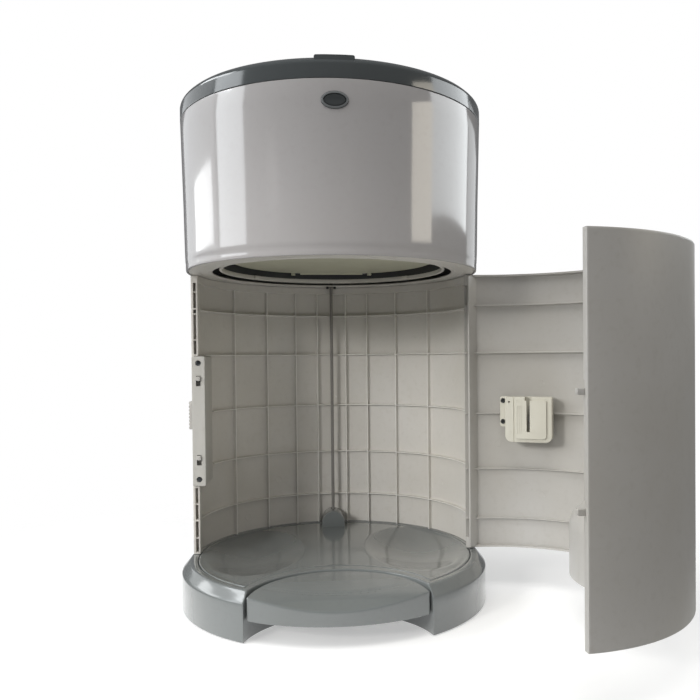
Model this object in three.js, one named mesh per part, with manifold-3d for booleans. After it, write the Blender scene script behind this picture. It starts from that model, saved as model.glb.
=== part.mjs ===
// Step-on nappy pail with its cabinet door standing open.
// Units are millimetres, +Z is up, the front faces -Y, and the origin is the
// centre of the round base on the floor.
import * as THREE from 'three';
import { mergeVertices } from 'three/addons/utils/BufferGeometryUtils.js';
import Module from 'manifold-3d';

const wasm = await Module();
wasm.setup();

// ---------------------------------------------------------------- driving sizes
const gap = 0.3;                  // clearance between pieces that rest on each other
const runningGap = 0.6;           // clearance round a piece that slides or turns
const skin = 2.4;                 // moulded wall of the large shells
const roundSteps = 36;            // facets of a large round piece
const innerSteps = 36;            // facets of a round piece inside the drum
const smallSteps = 10;            // facets of a small round piece

const baseRadius = 171.3;
const baseHeight = 48.5;
const baseWallTop = baseHeight - 10.5;    // the wall is upright to here, then slopes inward
const baseTopRadius = baseRadius - 9.3;
const floorRadius = 154;          // the recessed floor panel
const footHeight = 1;
const dish = { x: 92, y: 12, halfWidth: 48, halfLength: 92, depth: 9 };

const pedalRadius = baseRadius - 3.3;     // front face of the pedal, about the base axis
const toeCentre = -169.7;         // Y of the centre of the pedal's rear edge
const toeRadius = 92.2;           // radius of the pedal's rear edge
const floorFront = { y: toeCentre + 10, radius: toeRadius + 5.8 };
const pedalBottom = 21;
const pedalRearTop = baseHeight - 1;
const pedalFrontTop = baseHeight - 14;
// How far the tread has fallen, as parts of its depth front to back and of its whole fall.
const treadShape = [
  [0, 0], [0.36, 0.05], [0.58, 0.15], [0.72, 0.29], [0.82, 0.45], [0.88, 0.6], [0.95, 0.82], [1, 1],
];
const leverWidth = 20;
const leverHeight = 10;
const leverPadHeight = 3;         // raised end of the lever, under the rod
const pedalPivot = { y: -10, z: 26 };
const pedalAxleRadius = 3;

const rodRadius = 2;
const rodY = 147;
const humpWidth = 30;
const humpTop = baseHeight + 19.5;
const humpFront = 125;

const cabinetRadius = 161.3;
const cabinetSkin = 2.5;
const ribDepth = 5;
const ribThickness = 1.3;
const ribHeights = [87, 144.5, 207.5, 275.5, 328];
const ribAngles = [7.1, 18, 33.2, 52.5];
const cabinetHeight = 317.7;      // base to drum
const shellBottom = baseHeight + cabinetHeight;
const cabinetTop = shellBottom - gap;
const railHeight = 8;
const postDepth = 12;             // front-to-back size of the left door post
const postBars = [66.9, 87.3, 105.5, 292.7, 322.2, 347.2];

const latch = { bottom: 126.6, top: 274, width: 14.5, back: 55, plate: 2 };
const latchTravel = 5.5;
const hookHeights = [246.4, 156.4];
const slotSize = { width: 5.3, height: 11.6 };
const hookSize = { width: 4.6, height: 5.1 };
const grip = { bottom: 190.8, top: 222.6, proud: 4.2, depth: 17 };

const doorOpenAngle = 95;
const doorHinge = { x: 156.2, y: -4.5 };
const doorPinRadius = 2.5;
const doorRibHeights = [83, 140.5, 205, 275, 330.2];
const doorEdgeY = -0.5;
const toeRecess = { y: -165, radius: 96, straightTop: 98, top: 138 };

const cutter = { angle: 28, bottom: 174, top: 225, width: 52, depth: 20 };

const drumHeight = 161.5;
const shellTop = shellBottom + drumHeight;
const shellProfile = [[163, 0], [163.5, 9], [164, 20], [165, 72], [166.4, 124], [167.4, drumHeight]];
const shellWall = 2.2;
const collarInner = 135;
const throatRadius = 120.5;
const throatWall = 2.5;
const coneBottom = shellBottom + 93.8;    // the throat widens from here to its lip
const flapRadius = 113.5;
const flapThickness = 3;
const flapBottom = shellBottom + 13.8;
const flapHingeY = 106;
const flapPinRadius = 1.5;
const flapPinRise = 1.7;          // pin axis above the underside of the flap
const flapBarrel = 40;            // half length of the flap's hinge barrel
const flapSeat = { radius: 109, thickness: 1.6 };
const funnelTop = shellTop - 0.9;
const funnelTopRadius = 141;
const cassette = {
  inner: 124.5, outer: 143, wall: 1.6,
  bottom: shellBottom + 3.3, floor: shellBottom + 25.8, top: shellBottom + 73.8,
};

const lidBottom = shellTop + gap;
const lidTop = lidBottom + 22;
const lidRadius = 167.5;
const lidHinge = { y: 158.5, z: lidBottom + 10 };
const lidPinRadius = 2;
const lidEarX = 16.5;
const lidEarWidth = 4;
const lidReliefDepth = 4;
const button = { z: shellTop - 19.9, width: 20.8, height: 11.6, bezel: 2.2 };
const far = 1000;                 // reach of a cutting piece that passes right through

// ---------------------------------------------------------------- colours
const colours = {
  lidGrey: [0x6f7779, 0.3, 0], shellWhite: [0xd9d6da, 0.18, 0], wallWhite: [0xd0cdc9, 0.45, 0],
  baseGrey: [0x7b8486, 0.32, 0], darkGrey: [0x4c5254, 0.4, 0], ivory: [0xd8d9c6, 0.5, 0],
  cream: [0xe4e1d6, 0.42, 0], steel: [0xa9abad, 0.3, 0.9], rubber: [0x2a2b2c, 0.8, 0],
};

// ---------------------------------------------------------------- shape helpers
function toSolid(geometry) {
  const bare = geometry.clone();
  bare.deleteAttribute('normal');
  bare.deleteAttribute('uv');
  const merged = mergeVertices(bare, 1e-4);
  const points = merged.attributes.position;
  const index = merged.index.array;
  const kept = [];
  let volume = 0;
  const a = new THREE.Vector3();
  const b = new THREE.Vector3();
  const c = new THREE.Vector3();
  for (let i = 0; i < index.length; i += 3) {
    const [p, q, r] = [index[i], index[i + 1], index[i + 2]];
    if (p === q || q === r || r === p) continue;
    kept.push(p, q, r);
    a.fromBufferAttribute(points, p);
    b.fromBufferAttribute(points, q);
    c.fromBufferAttribute(points, r);
    volume += a.dot(b.cross(c));
  }
  if (volume < 0) kept.reverse();
  const mesh = new wasm.Mesh({
    numProp: 3,
    vertProperties: new Float32Array(points.array),
    triVerts: new Uint32Array(kept),
  });
  return new wasm.Manifold(mesh);
}

function toGeometry(solid) {
  const mesh = solid.getMesh();
  const geometry = new THREE.BufferGeometry();
  geometry.setAttribute('position', new THREE.BufferAttribute(mesh.vertProperties, 3));
  geometry.setIndex(new THREE.BufferAttribute(mesh.triVerts, 1));
  return geometry;
}

// A solid of revolution about Z from a closed outline of [radius, z] points.
function turned(outline, steps = roundSteps) {
  const points = outline.map(([r, z]) => new THREE.Vector2(r, z));
  points.push(points[0].clone());
  return toSolid(new THREE.LatheGeometry(points, steps).rotateX(Math.PI / 2));
}

function disc(radius, bottom, top, steps = roundSteps) {
  return turned([[0, bottom], [radius, bottom], [radius, top], [0, top]], steps);
}

function ring(inner, outer, bottom, top, steps = roundSteps) {
  return turned([[inner, bottom], [outer, bottom], [outer, top], [inner, top]], steps);
}

// A box between two corners.
function block([x0, y0, z0], [x1, y1, z1]) {
  const geometry = new THREE.BoxGeometry(x1 - x0, y1 - y0, z1 - z0);
  return toSolid(geometry.translate((x0 + x1) / 2, (y0 + y1) / 2, (z0 + z1) / 2));
}

// A round bar along X, Y or Z between two positions on that axis.
function bar(axis, radius, from, to, [u, v], steps = smallSteps) {
  const geometry = new THREE.CylinderGeometry(radius, radius, to - from, steps);
  const middle = (from + to) / 2;
  if (axis === 'x') geometry.rotateZ(Math.PI / 2).translate(middle, u, v);
  if (axis === 'y') geometry.translate(u, middle, v);
  if (axis === 'z') geometry.rotateX(Math.PI / 2).translate(u, v, middle);
  return toSolid(geometry);
}

// A plan outline raised from bottom to top.
function raised(shape, bottom, top, curveSegments = 16) {
  const settings = { depth: top - bottom, bevelEnabled: false, curveSegments };
  return toSolid(new THREE.ExtrudeGeometry(shape, settings).translate(0, 0, bottom));
}

// An XZ outline run along Y from back to front.
function profiled(shape, y0, y1, curveSegments = 8) {
  const settings = { depth: y1 - y0, bevelEnabled: false, curveSegments };
  const geometry = new THREE.ExtrudeGeometry(shape, settings).rotateX(Math.PI / 2);
  return toSolid(geometry.translate(0, y1, 0));
}

function ovalShape(width, height, z) {
  const shape = new THREE.Shape();
  shape.absellipse(0, z, width / 2, height / 2, 0, Math.PI * 2);
  return shape;
}

function ellipsoid(x, y, z, sx, sy, sz) {
  const ball = new THREE.SphereGeometry(1, 18, 12).rotateX(Math.PI / 2);
  return toSolid(ball.scale(sx, sy, sz).translate(x, y, z));
}

// ---------------------------------------------------------------- scene helpers
const pail = new THREE.Group();

const door = new THREE.Group();
door.position.set(doorHinge.x, doorHinge.y, 0);
door.rotation.z = THREE.MathUtils.degToRad(doorOpenAngle);
pail.add(door);
const doorPieces = new THREE.Group();
doorPieces.position.set(-doorHinge.x, -doorHinge.y, 0);
door.add(doorPieces);

function add(name, solid, colour, parent = pail) {
  const [color, roughness, metalness] = colours[colour];
  const material = new THREE.MeshStandardMaterial({ color, roughness, metalness });
  const mesh = new THREE.Mesh(toGeometry(solid), material);
  mesh.name = name;
  parent.add(mesh);
}

// ---------------------------------------------------------------- base
const toeGap = 2;
const notchRadius = toeRadius + toeGap;
const baseTopUnder = baseHeight - skin;

function toeCylinder(radius, bottom, top, y = toeCentre) {
  return disc(radius, bottom, top, roundSteps).translate(0, y, 0);
}

function baseShell() {
  const inner = baseRadius - skin;
  const wall = turned([
    [baseRadius, footHeight], [baseRadius, baseWallTop], [baseTopRadius, baseHeight],
    [floorRadius + gap, baseHeight], [floorRadius + gap, baseTopUnder],
    [baseTopRadius - 1, baseTopUnder], [inner, baseWallTop - 1], [inner, footHeight],
  ]);
  const inside = disc(baseRadius - 1, footHeight, baseHeight);
  const band = toeCylinder(floorFront.radius, baseTopUnder, baseHeight, floorFront.y)
    .add(toeCylinder(notchRadius + skin, baseTopUnder, baseHeight));
  const apronWall = toeCylinder(notchRadius + skin, footHeight, baseHeight);
  const apron = toeCentre + notchRadius;
  const leverSlot = block([-leverWidth / 2 - 3, apron - 15, 0],
    [leverWidth / 2 + 3, apron + 16, pedalPivot.z + leverHeight]);
  return wall.add(band.add(apronWall).intersect(inside))
    .subtract(toeCylinder(notchRadius, 0, baseHeight + 1))
    .subtract(leverSlot);
}

function humpArch(halfWidth, top, y0, y1, bottom) {
  const shape = new THREE.Shape();
  shape.moveTo(-halfWidth, bottom);
  shape.lineTo(halfWidth, bottom);
  shape.absarc(0, top - halfWidth, halfWidth, 0, Math.PI, false);
  shape.lineTo(-halfWidth, bottom);
  return profiled(shape, y0, y1);
}

function floorPan() {
  const half = humpWidth / 2;
  const wallInner = cabinetRadius - cabinetSkin;
  let pan = disc(floorRadius, baseTopUnder, baseHeight);
  for (const side of [-1, 1]) {
    const under = ellipsoid(side * dish.x, dish.y, baseHeight,
      dish.halfWidth + skin, dish.halfLength + skin, dish.depth + skin);
    pan = pan.add(under.intersect(disc(floorRadius - 1, 30, baseHeight)));
  }
  pan = pan.add(humpArch(half, humpTop, humpFront, floorRadius - 1, baseTopUnder));
  pan = pan.add(humpArch(half, humpTop, floorRadius - 4, wallInner - 1.4, baseHeight + gap));
  for (const side of [-1, 1]) {
    pan = pan.subtract(ellipsoid(side * dish.x, dish.y, baseHeight,
      dish.halfWidth, dish.halfLength, dish.depth));
  }
  const hollow = humpArch(half - skin, humpTop - skin, humpFront + skin, wallInner - 4, 40);
  const rodSlot = block([-rodRadius - 1, rodY - 6, 60], [rodRadius + 1, rodY + 6, humpTop + 1]);
  const front = toeCylinder(floorFront.radius + gap, 0, baseHeight + 1, floorFront.y)
    .add(toeCylinder(notchRadius + skin + gap, 0, baseHeight + 1));
  return pan.subtract(hollow).subtract(rodSlot).subtract(front);
}

const plateBottom = footHeight + 0.4;
const plateTop = plateBottom + skin;
const footRadius = 9;
const footPlaces = [[-128, -60], [128, -60], [-80, 118], [80, 118]];

function bottomPlate() {
  let plate = disc(baseRadius - skin - gap, plateBottom, plateTop)
    .subtract(toeCylinder(notchRadius + skin + gap, 0, 20));
  for (const side of [-1, 1]) {
    const x = side * 40;
    plate = plate.add(block([x - 3, pedalPivot.y - 8, plateBottom],
      [x + 3, pedalPivot.y + 8, pedalPivot.z + 8]));
  }
  plate = plate.subtract(bar('x', pedalAxleRadius + gap, -60, 60, [pedalPivot.y, pedalPivot.z]));
  for (const [x, y] of [...footPlaces, [0, 0]]) {
    plate = plate.subtract(bar('z', footRadius - 2 + gap, 0, 10, [x, y]));
  }
  return plate;
}

function footPad(x, y) {
  const stem = bar('z', footRadius - 2, 0.5, plateTop, [x, y]);
  return bar('z', footRadius, 0, footHeight + 0.1, [x, y]).add(stem);
}

// ---------------------------------------------------------------- pedal and lift rod
function lens(outer, rear) {
  const y = -(outer * outer - rear * rear + toeCentre * toeCentre) / (2 * -toeCentre);
  const x = Math.sqrt(outer * outer - y * y);
  const shape = new THREE.Shape();
  shape.absarc(0, 0, outer, Math.atan2(y, -x), Math.atan2(y, x), false);
  shape.absarc(0, toeCentre, rear, Math.atan2(y - toeCentre, x), Math.atan2(y - toeCentre, -x), false);
  return shape;
}

// Everything above the tread, lowered by drop: it runs nearly level, then rolls down at the front.
function aboveTread(drop) {
  const rear = toeCentre + toeRadius;
  const fall = pedalRearTop - pedalFrontTop;
  const reach = rear + pedalRadius;
  const outline = treadShape.map(([along, down]) => [rear - along * reach, pedalRearTop - drop - down * fall]);
  const [frontY, frontZ] = outline[outline.length - 1];
  const shape = new THREE.Shape();
  shape.moveTo(rear + 60, pedalRearTop + 60);
  shape.lineTo(rear + 60, pedalRearTop - drop);
  for (const [y, z] of outline) shape.lineTo(y, z);
  shape.lineTo(frontY - 60, frontZ - 60);
  shape.lineTo(frontY - 60, pedalRearTop + 60);
  const geometry = new THREE.ExtrudeGeometry(shape, { depth: far, bevelEnabled: false });
  return toSolid(geometry.translate(0, 0, -far / 2).rotateX(Math.PI / 2).rotateZ(Math.PI / 2));
}

function pedal() {
  const body = raised(lens(pedalRadius, toeRadius), pedalBottom, 60).subtract(aboveTread(0));
  const hollow = raised(lens(pedalRadius - skin, toeRadius - skin), 0, 60).subtract(aboveTread(skin));
  const half = leverWidth / 2 + gap;
  const top = leverTop + gap;
  const rear = toeCentre + toeRadius;
  const leverCut = block([-half, rear - 27, 0], [half, rear + 17, top]);
  return body.subtract(hollow).subtract(leverCut);
}

const leverTop = pedalPivot.z + 3;
const leverBottom = leverTop - leverHeight;
const leverEnd = rodY + 4;

function pedalLever() {
  const half = leverWidth / 2;
  const arm = block([-half, -140, leverBottom], [half, leverEnd, leverTop])
    .add(block([-half, rodY - 6, leverBottom], [half, leverEnd, leverTop + leverPadHeight]));
  const hub = bar('x', 9, -30, 30, [pedalPivot.y, pedalPivot.z]);
  const hole = bar('x', pedalAxleRadius + gap, -40, 40, [pedalPivot.y, pedalPivot.z]);
  return arm.add(hub).subtract(hole);
}

const rodFootBottom = leverTop + leverPadHeight + 0.8;
const rodFootTop = rodFootBottom + 10;
const lidPadZ = lidHinge.z - 1;
const rodTop = lidPadZ - 1.6;

function liftRod() {
  return bar('z', rodRadius, rodFootBottom + 3, rodTop, [0, rodY]);
}

function rodFoot() {
  const cup = bar('z', 5, rodFootBottom, rodFootTop, [0, rodY]);
  return cup.subtract(bar('z', rodRadius + gap, rodFootBottom + 3 - gap, rodFootTop + 1, [0, rodY]));
}

// ---------------------------------------------------------------- cabinet wall
const wallInner = cabinetRadius - cabinetSkin;
const ribInner = cabinetRadius - cabinetSkin - ribDepth;
const cabinetBottom = baseHeight + gap;
const rightEdgeY = 6;
const leftEdgeY = 2.6;

// The wall outline with its hoop ribs as one comb, turned all the way round.
function ribbedHoop(bottom, top, ribs, rail) {
  const outline = [[cabinetRadius, bottom], [cabinetRadius, top]];
  if (rail > 0) outline.push([ribInner, top], [ribInner, top - rail]);
  outline.push([wallInner, top - rail]);
  for (const z of [...ribs].reverse()) {
    const half = ribThickness / 2;
    outline.push([wallInner, z + half], [ribInner, z + half], [ribInner, z - half], [wallInner, z - half]);
  }
  outline.push([wallInner, bottom]);
  return turned(outline);
}

function uprightRib(angleFromBack) {
  const rib = block([-ribThickness / 2, ribInner, cabinetBottom],
    [ribThickness / 2, cabinetRadius - 1, cabinetTop - 1]);
  return rib.rotate([0, 0, -angleFromBack]);
}

function leftPost() {
  const shell = ring(ribInner, wallInner + 1, cabinetBottom, cabinetTop)
    .intersect(block([-200, leftEdgeY, 0], [-100, leftEdgeY + postDepth, far]));
  let pocket = ring(ribInner + 1.8, wallInner, cabinetBottom + 2, cabinetTop - 2)
    .intersect(block([-200, 0, 0], [-100, leftEdgeY + postDepth - 1.8, far]));
  for (const z of postBars) {
    pocket = pocket.subtract(block([-200, 0, z - ribThickness / 2], [-100, 40, z + ribThickness / 2]));
  }
  return shell.subtract(pocket);
}

function cabinetWall() {
  let wall = ribbedHoop(cabinetBottom, cabinetTop, ribHeights, railHeight);
  for (const angle of ribAngles) {
    wall = wall.add(uprightRib(angle)).add(uprightRib(-angle));
  }
  wall = wall.intersect(block([-200, leftEdgeY, 0], [200, 200, far]));
  wall = wall.subtract(block([100, -10, 0], [200, rightEdgeY, far]));
  wall = wall.add(leftPost());
  const housingRoom = block([-200, 0, latch.bottom - gap],
    [plateRight + 1.6, latch.back + gap, latch.top + gap])
    .intersect(disc(wallInner, 100, 300));
  const gripSlot = block([-200, leftEdgeY + 1.5, grip.bottom - 13],
    [-150, leftEdgeY + 1.5 + grip.depth + 3, grip.top + 2]);
  return wall.subtract(housingRoom).subtract(gripSlot);
}

// ---------------------------------------------------------------- door latch
const plateLeft = -cabinetRadius + 0.4;
const plateRight = plateLeft + latch.width;
const plateFront = gap;
const plateBack = plateFront + latch.plate;
const slotX = plateLeft + latch.width / 2 + 0.05;
const latchScrewZ = [latch.bottom + 7.5, latch.top - 7.7];

function latchHousing() {
  const outer = block([-200, plateBack + gap, latch.bottom], [plateRight, latch.back, latch.top])
    .intersect(disc(wallInner - gap, 100, 300));
  const inner = block([-200, 0, latch.bottom + 2], [plateRight - 2, latch.back - 2, latch.top - 2]);
  return outer.subtract(inner);
}

function latchPlate() {
  let plate = block([plateLeft, plateFront, latch.bottom], [plateRight, plateBack, latch.top])
    .intersect(disc(cabinetRadius, 100, 300));
  for (const z of hookHeights) {
    const bottom = z - latchTravel - 0.6;
    plate = plate.subtract(block([slotX - slotSize.width / 2, 0, bottom],
      [slotX + slotSize.width / 2, 5, bottom + slotSize.height]));
  }
  for (const z of latchScrewZ) {
    plate = plate.subtract(bar('y', 1.7, 0, 5, [slotX, z]))
      .subtract(bar('y', 3.2, 0, plateFront + 1.2, [slotX, z]));
  }
  return plate;
}

function latchScrew(z) {
  const shank = bar('y', 1.4, plateFront + 0.5, 6, [slotX, z]);
  return bar('y', 2.9, plateFront, plateFront + 0.9, [slotX, z]).add(shank);
}

const sliderY = [7, 12];
const sliderBottom = latch.bottom + 14;

function latchSlider() {
  const x0 = slotX - 3;
  const x1 = slotX + 4;
  let slider = block([x0, sliderY[0], sliderBottom], [x1, sliderY[1], latch.top - 12]);
  for (const z of hookHeights) {
    const half = hookSize.width / 2;
    slider = slider.add(block([slotX - half, -2.2, z], [slotX + half, sliderY[0] + 1, z + 2.6]))
      .add(block([slotX - half, -2.2, z + 1], [slotX + half, -0.4, z + hookSize.height]));
  }
  const gripFront = leftEdgeY + 3;
  const body = block([-cabinetRadius - grip.proud, gripFront, grip.bottom],
    [x0 + 1, gripFront + grip.depth, grip.top]);
  slider = slider.add(body);
  const flutes = 5;
  for (let i = 1; i <= flutes; i += 1) {
    const z = grip.bottom + (i * (grip.top - grip.bottom)) / (flutes + 1);
    slider = slider.subtract(bar('y', 1.4, 0, 40, [-cabinetRadius - grip.proud - 0.4, z], 8));
  }
  return slider;
}

function latchSpring() {
  const centre = [slotX + 0.5, (sliderY[0] + sliderY[1]) / 2];
  const bottom = latch.bottom + 2 + gap;
  const top = sliderBottom - gap;
  return bar('z', 2.3, bottom, top, centre).subtract(bar('z', 1.3, bottom - 1, top + 1, centre));
}

// ---------------------------------------------------------------- door (modelled shut)
const doorBottom = baseHeight + 0.9;
const doorTop = shellBottom - 0.6;
const doorBossRadius = 4.7;

function recessBody(grow, bottom) {
  const r = toeRecess.radius + grow;
  const top = toeRecess.top + grow;
  const shoulder = toeRecess.straightTop;
  const outline = [[0, bottom], [r, bottom]];
  const steps = 5;
  for (let i = 0; i <= steps; i += 1) {
    const angle = (i / steps) * (Math.PI / 2);
    outline.push([r * Math.cos(angle), shoulder + (top - shoulder) * Math.sin(angle)]);
  }
  outline[outline.length - 1][0] = 0;
  return turned(outline, innerSteps).translate(0, toeRecess.y, 0);
}

function doorReturn() {
  const x0 = wallInner + 1.2;
  const shape = new THREE.Shape();
  shape.moveTo(x0, -16);
  shape.lineTo(x0, -13.2);
  shape.lineTo(x0 - 11.6, -1);
  shape.lineTo(x0 - 13.4, -2.4);
  shape.lineTo(x0 - 1.6, -15.4);
  return raised(shape, doorBottom + 2, doorTop - 2);
}

function doorShell() {
  const front = block([-200, -200, 0], [200, doorEdgeY, far]);
  const inside = disc(cabinetRadius, doorBottom, doorTop);
  let shell = ribbedHoop(doorBottom, doorTop, doorRibHeights, 0).intersect(front);
  const rim = ribThickness + 0.7;
  for (const z of [doorBottom, doorTop - rim]) {
    shell = shell.add(ring(ribInner, wallInner + 1, z, z + rim).intersect(front));
  }
  const freeEdge = block([-cabinetRadius, doorEdgeY - 2, doorBottom], [-ribInner, doorEdgeY, doorTop])
    .intersect(inside);
  shell = shell.add(freeEdge).add(doorReturn());
  shell = shell.add(recessBody(skin, doorBottom).intersect(inside));
  shell = shell.subtract(recessBody(0, doorBottom - 5));
  for (const [z0, z1] of [[doorBottom, doorBottom + 12], [doorTop - 12, doorTop]]) {
    shell = shell.add(bar('z', doorBossRadius, z0, z1, [doorHinge.x, doorHinge.y]));
  }
  for (const [z0, z1] of [[doorBottom - 1, doorBottom + 10], [doorTop - 10, doorTop + 1]]) {
    shell = shell.subtract(bar('z', doorPinRadius + gap, z0, z1, [doorHinge.x, doorHinge.y]));
  }
  const pocketX = -ribInner - 1;
  return shell.subtract(block([-wallInner + 0.6, doorEdgeY - 12, 130], [pocketX + 8, doorEdgeY - 2 - gap, 270]))
    .subtract(ribNotches());
}

// Room on the free edge for the two catch tongues and the latch hooks.
function ribNotches() {
  let cut = null;
  for (const z of hookHeights) {
    const piece = block([slotX - 3, doorEdgeY - 4, z - 6.2], [slotX + 3, doorEdgeY + 1, z + 6.2]);
    cut = cut ? cut.add(piece) : piece;
  }
  return cut;
}

function doorCatch() {
  const y1 = doorEdgeY - 2 - 2 * gap;
  let strip = block([slotX - 4, y1 - 2.5, 140], [slotX + 4, y1, 262]);
  for (const z of hookHeights) {
    strip = strip.add(block([slotX - 2.3, y1 - 1, z - latchTravel + 0.2],
      [slotX + 2.3, plateBack + 3, z - gap]));
  }
  return strip.intersect(disc(wallInner - gap, 100, 300));
}

function doorPin(bottom, top) {
  return bar('z', doorPinRadius, bottom, top, [doorHinge.x, doorHinge.y]);
}

// ---------------------------------------------------------------- bag cutter on the door
const cutterFace = ribInner - 0.4;    // outer side of the housing, on the rib edges

// Turns a piece built square to the +X axis round to the cutter's place on the door.
function onDoor(solid) {
  return solid.rotate([0, 0, -cutter.angle]);
}

const earWidth = 8;
const cutterScrewZ = [cutter.top - 29, cutter.top - 5];

function cutterHousing() {
  const half = cutter.width / 2;
  const back = Math.sqrt(cutterFace ** 2 - (half + earWidth) ** 2) - 0.3;
  const front = back - cutter.depth;
  let body = block([front, -half, cutter.bottom], [back, half, cutter.top]);
  body = body.add(block([back - 4, half - 1, cutter.top - 35], [back, half + earWidth, cutter.top]));
  const channel = block([front - 1, -4, cutter.bottom + 9], [front + 12, 4, cutter.top + 1]);
  const groove = block([front - 1, half - 10.6, cutter.bottom - 1], [front + 1.2, half - 9.4, cutter.top + 1]);
  body = body.subtract(channel).subtract(groove);
  const cavity = block([front + 2.2, -half + 2.2, cutter.bottom + 2.2], [back + 1, -6.2, cutter.top - 2.2]);
  body = body.subtract(cavity).subtract(cavity.mirror([0, 1, 0]));
  for (const z of cutterScrewZ) {
    body = body.subtract(bar('x', 1.8, back - 6, back + 1, [half + earWidth / 2 + 0.6, z]));
  }
  return onDoor(body);
}

function cutterFrame() {
  const half = cutter.width / 2;
  const back = Math.sqrt(cutterFace ** 2 - (half + earWidth) ** 2) - 0.3;
  return { half, back, front: back - cutter.depth };
}

function cutterBlade() {
  const { front } = cutterFrame();
  const shape = new THREE.Shape();
  shape.moveTo(front + 3, cutter.bottom + 14);
  shape.lineTo(front + 11, cutter.bottom + 14);
  shape.lineTo(front + 11, cutter.top - 10);
  shape.lineTo(front + 3, cutter.top - 22);
  const settings = { depth: 1, bevelEnabled: false };
  const geometry = new THREE.ExtrudeGeometry(shape, settings).rotateX(Math.PI / 2).translate(0, 0.5, 0);
  return onDoor(toSolid(geometry));
}

function cutterCover() {
  const { half, front } = cutterFrame();
  const plate = block([front - 2.3, -half + 6, cutter.bottom + 4], [front - gap, half - 12, cutter.top - 4]);
  const mouth = block([front - 4, -1.8, cutter.bottom + 12], [front + 1, 1.8, cutter.top]);
  return onDoor(plate.subtract(mouth));
}

function cutterScrew(z) {
  const { half, back } = cutterFrame();
  const y = half + earWidth / 2 + 0.6;
  const head = bar('x', 2.8, back - 6.2, back - 4.3, [y, z]);
  return onDoor(head.add(bar('x', 1.4, back - 5, back - 0.5, [y, z])));
}

// ---------------------------------------------------------------- upper housing
function upperShell() {
  const outline = shellProfile.map(([r, z]) => [r, shellBottom + z]);
  const inner = shellProfile.map(([r, z]) => [r - shellWall, shellBottom + z]).reverse();
  const shell = turned([...outline, ...inner]);
  const hole = profiled(ovalShape(button.width + 2 * button.bezel + 2 * gap,
    button.height + 2 * button.bezel + 2 * gap, button.z), -180, -150);
  const relief = block([-58, 140, shellTop - lidReliefDepth], [58, 200, shellTop + 1]);
  return shell.subtract(hole).subtract(relief);
}

function collarPlate() {
  const bottom = shellBottom + gap;
  const outer = shellProfile[0][0] - shellWall - gap;
  const plate = turned([[collarInner, bottom], [outer, bottom], [outer, bottom + 14],
    [outer - 2, bottom + 14], [outer - 2, bottom + 3], [collarInner + 2, bottom + 3],
    [collarInner + 2, bottom + 9], [collarInner, bottom + 9]]);
  const slot = block([-3.2, rodY - 4, 0], [3.2, rodY + 9, far])
    .add(block([-6.5, rodY + 2, 0], [6.5, rodY + 6, far]));
  const pinHole = bar('z', doorPinRadius + gap, 0, far, [doorHinge.x, doorHinge.y]);
  // two lugs under the slot steady the top of the rod
  const lugLow = shellBottom - 2.2;
  const lugs = block([-6.5, rodY - 3.6, lugLow], [6.5, rodY + 1.6, bottom + 1]).subtract(slot);
  return plate.subtract(slot).subtract(pinHole).add(lugs);
}

function refillRing() {
  const c = cassette;
  let body = turned([[c.inner, c.bottom], [c.inner + 3, c.bottom], [c.inner + 3, c.bottom + 5],
    [c.inner + c.wall, c.bottom + 7], [c.inner + c.wall, c.top], [c.inner, c.top]], innerSteps);
  for (const angle of [-131, -49, 49, 131]) {
    const tab = block([-4.5, throatRadius + 0.7, c.bottom + 1], [4.5, collarInner - 0.8, c.bottom + 5]);
    body = body.add(tab.rotate([0, 0, -angle]));
  }
  return body;
}

function refillFloor() {
  const c = cassette;
  return ring(c.inner + c.wall + gap, c.outer - c.wall - gap, c.floor, c.floor + c.wall, innerSteps);
}

function refillWall() {
  const c = cassette;
  return ring(c.outer - c.wall, c.outer, c.floor, c.top, innerSteps);
}

// The same piece on both sides of the drum: front and rear, or left and right.
function bothSides(solid, normal) {
  return solid.add(solid.mirror(normal));
}

function funnel() {
  const inner = throatRadius - throatWall;
  const lip = funnelTopRadius - 4;
  const low = coneBottom + gap;
  return turned([[inner, low], [throatRadius, low], [lip + 1.5, funnelTop - 3],
    [funnelTopRadius, funnelTop - 3], [funnelTopRadius, funnelTop], [lip - 0.5, funnelTop]], innerSteps);
}

function throatTube() {
  const outer = throatRadius;
  const inner = throatRadius - throatWall;
  const seat = flapBottom + flapThickness + 0.6;
  const throatBottom = flapBottom - 3.5;
  const body = turned([[inner, throatBottom], [outer, throatBottom], [outer, coneBottom], [inner, coneBottom],
    [inner, seat + flapSeat.thickness], [flapSeat.radius, seat + flapSeat.thickness],
    [flapSeat.radius, seat], [inner, seat]], innerSteps);
  const near = flapBarrel + 6.5;
  const barrelRoom = block([-near - 7, flapHingeY - 6, seat - 1], [near + 7, flapHingeY + 9, seat + 3])
    .intersect(disc(inner - 0.5, 0, far, innerSteps));
  const post = block([near, flapHingeY - 2.5, flapBottom - 2], [near + 5, flapHingeY + 12, flapBottom + 7]);
  const posts = bothSides(bothSides(post, [1, 0, 0]), [0, 1, 0]);
  const pinHole = bar('x', flapPinRadius + gap, -60, 60, [flapHingeY, flapBottom + flapPinRise]);
  return body.subtract(bothSides(barrelRoom, [0, 1, 0]))
    .add(posts)
    .subtract(bothSides(pinHole, [0, 1, 0]))
    .subtract(ring(outer, outer + 12, 0, cassette.top, innerSteps));
}

function flap(side) {
  const hinge = [flapHingeY, flapBottom + flapPinRise];
  const corner = block([flapBarrel, flapHingeY - 7, 0], [80, 200, far]);
  const body = disc(flapRadius, flapBottom, flapBottom + flapThickness, innerSteps)
    .intersect(block([-200, 0.4, 0], [200, flapHingeY + 1, far]))
    .subtract(bothSides(corner, [1, 0, 0]))
    .add(bar('x', 3.2, -flapBarrel, flapBarrel, hinge))
    .subtract(bar('x', flapPinRadius + gap, -60, 60, hinge));
  return side > 0 ? body : body.mirror([0, 1, 0]);
}

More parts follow.
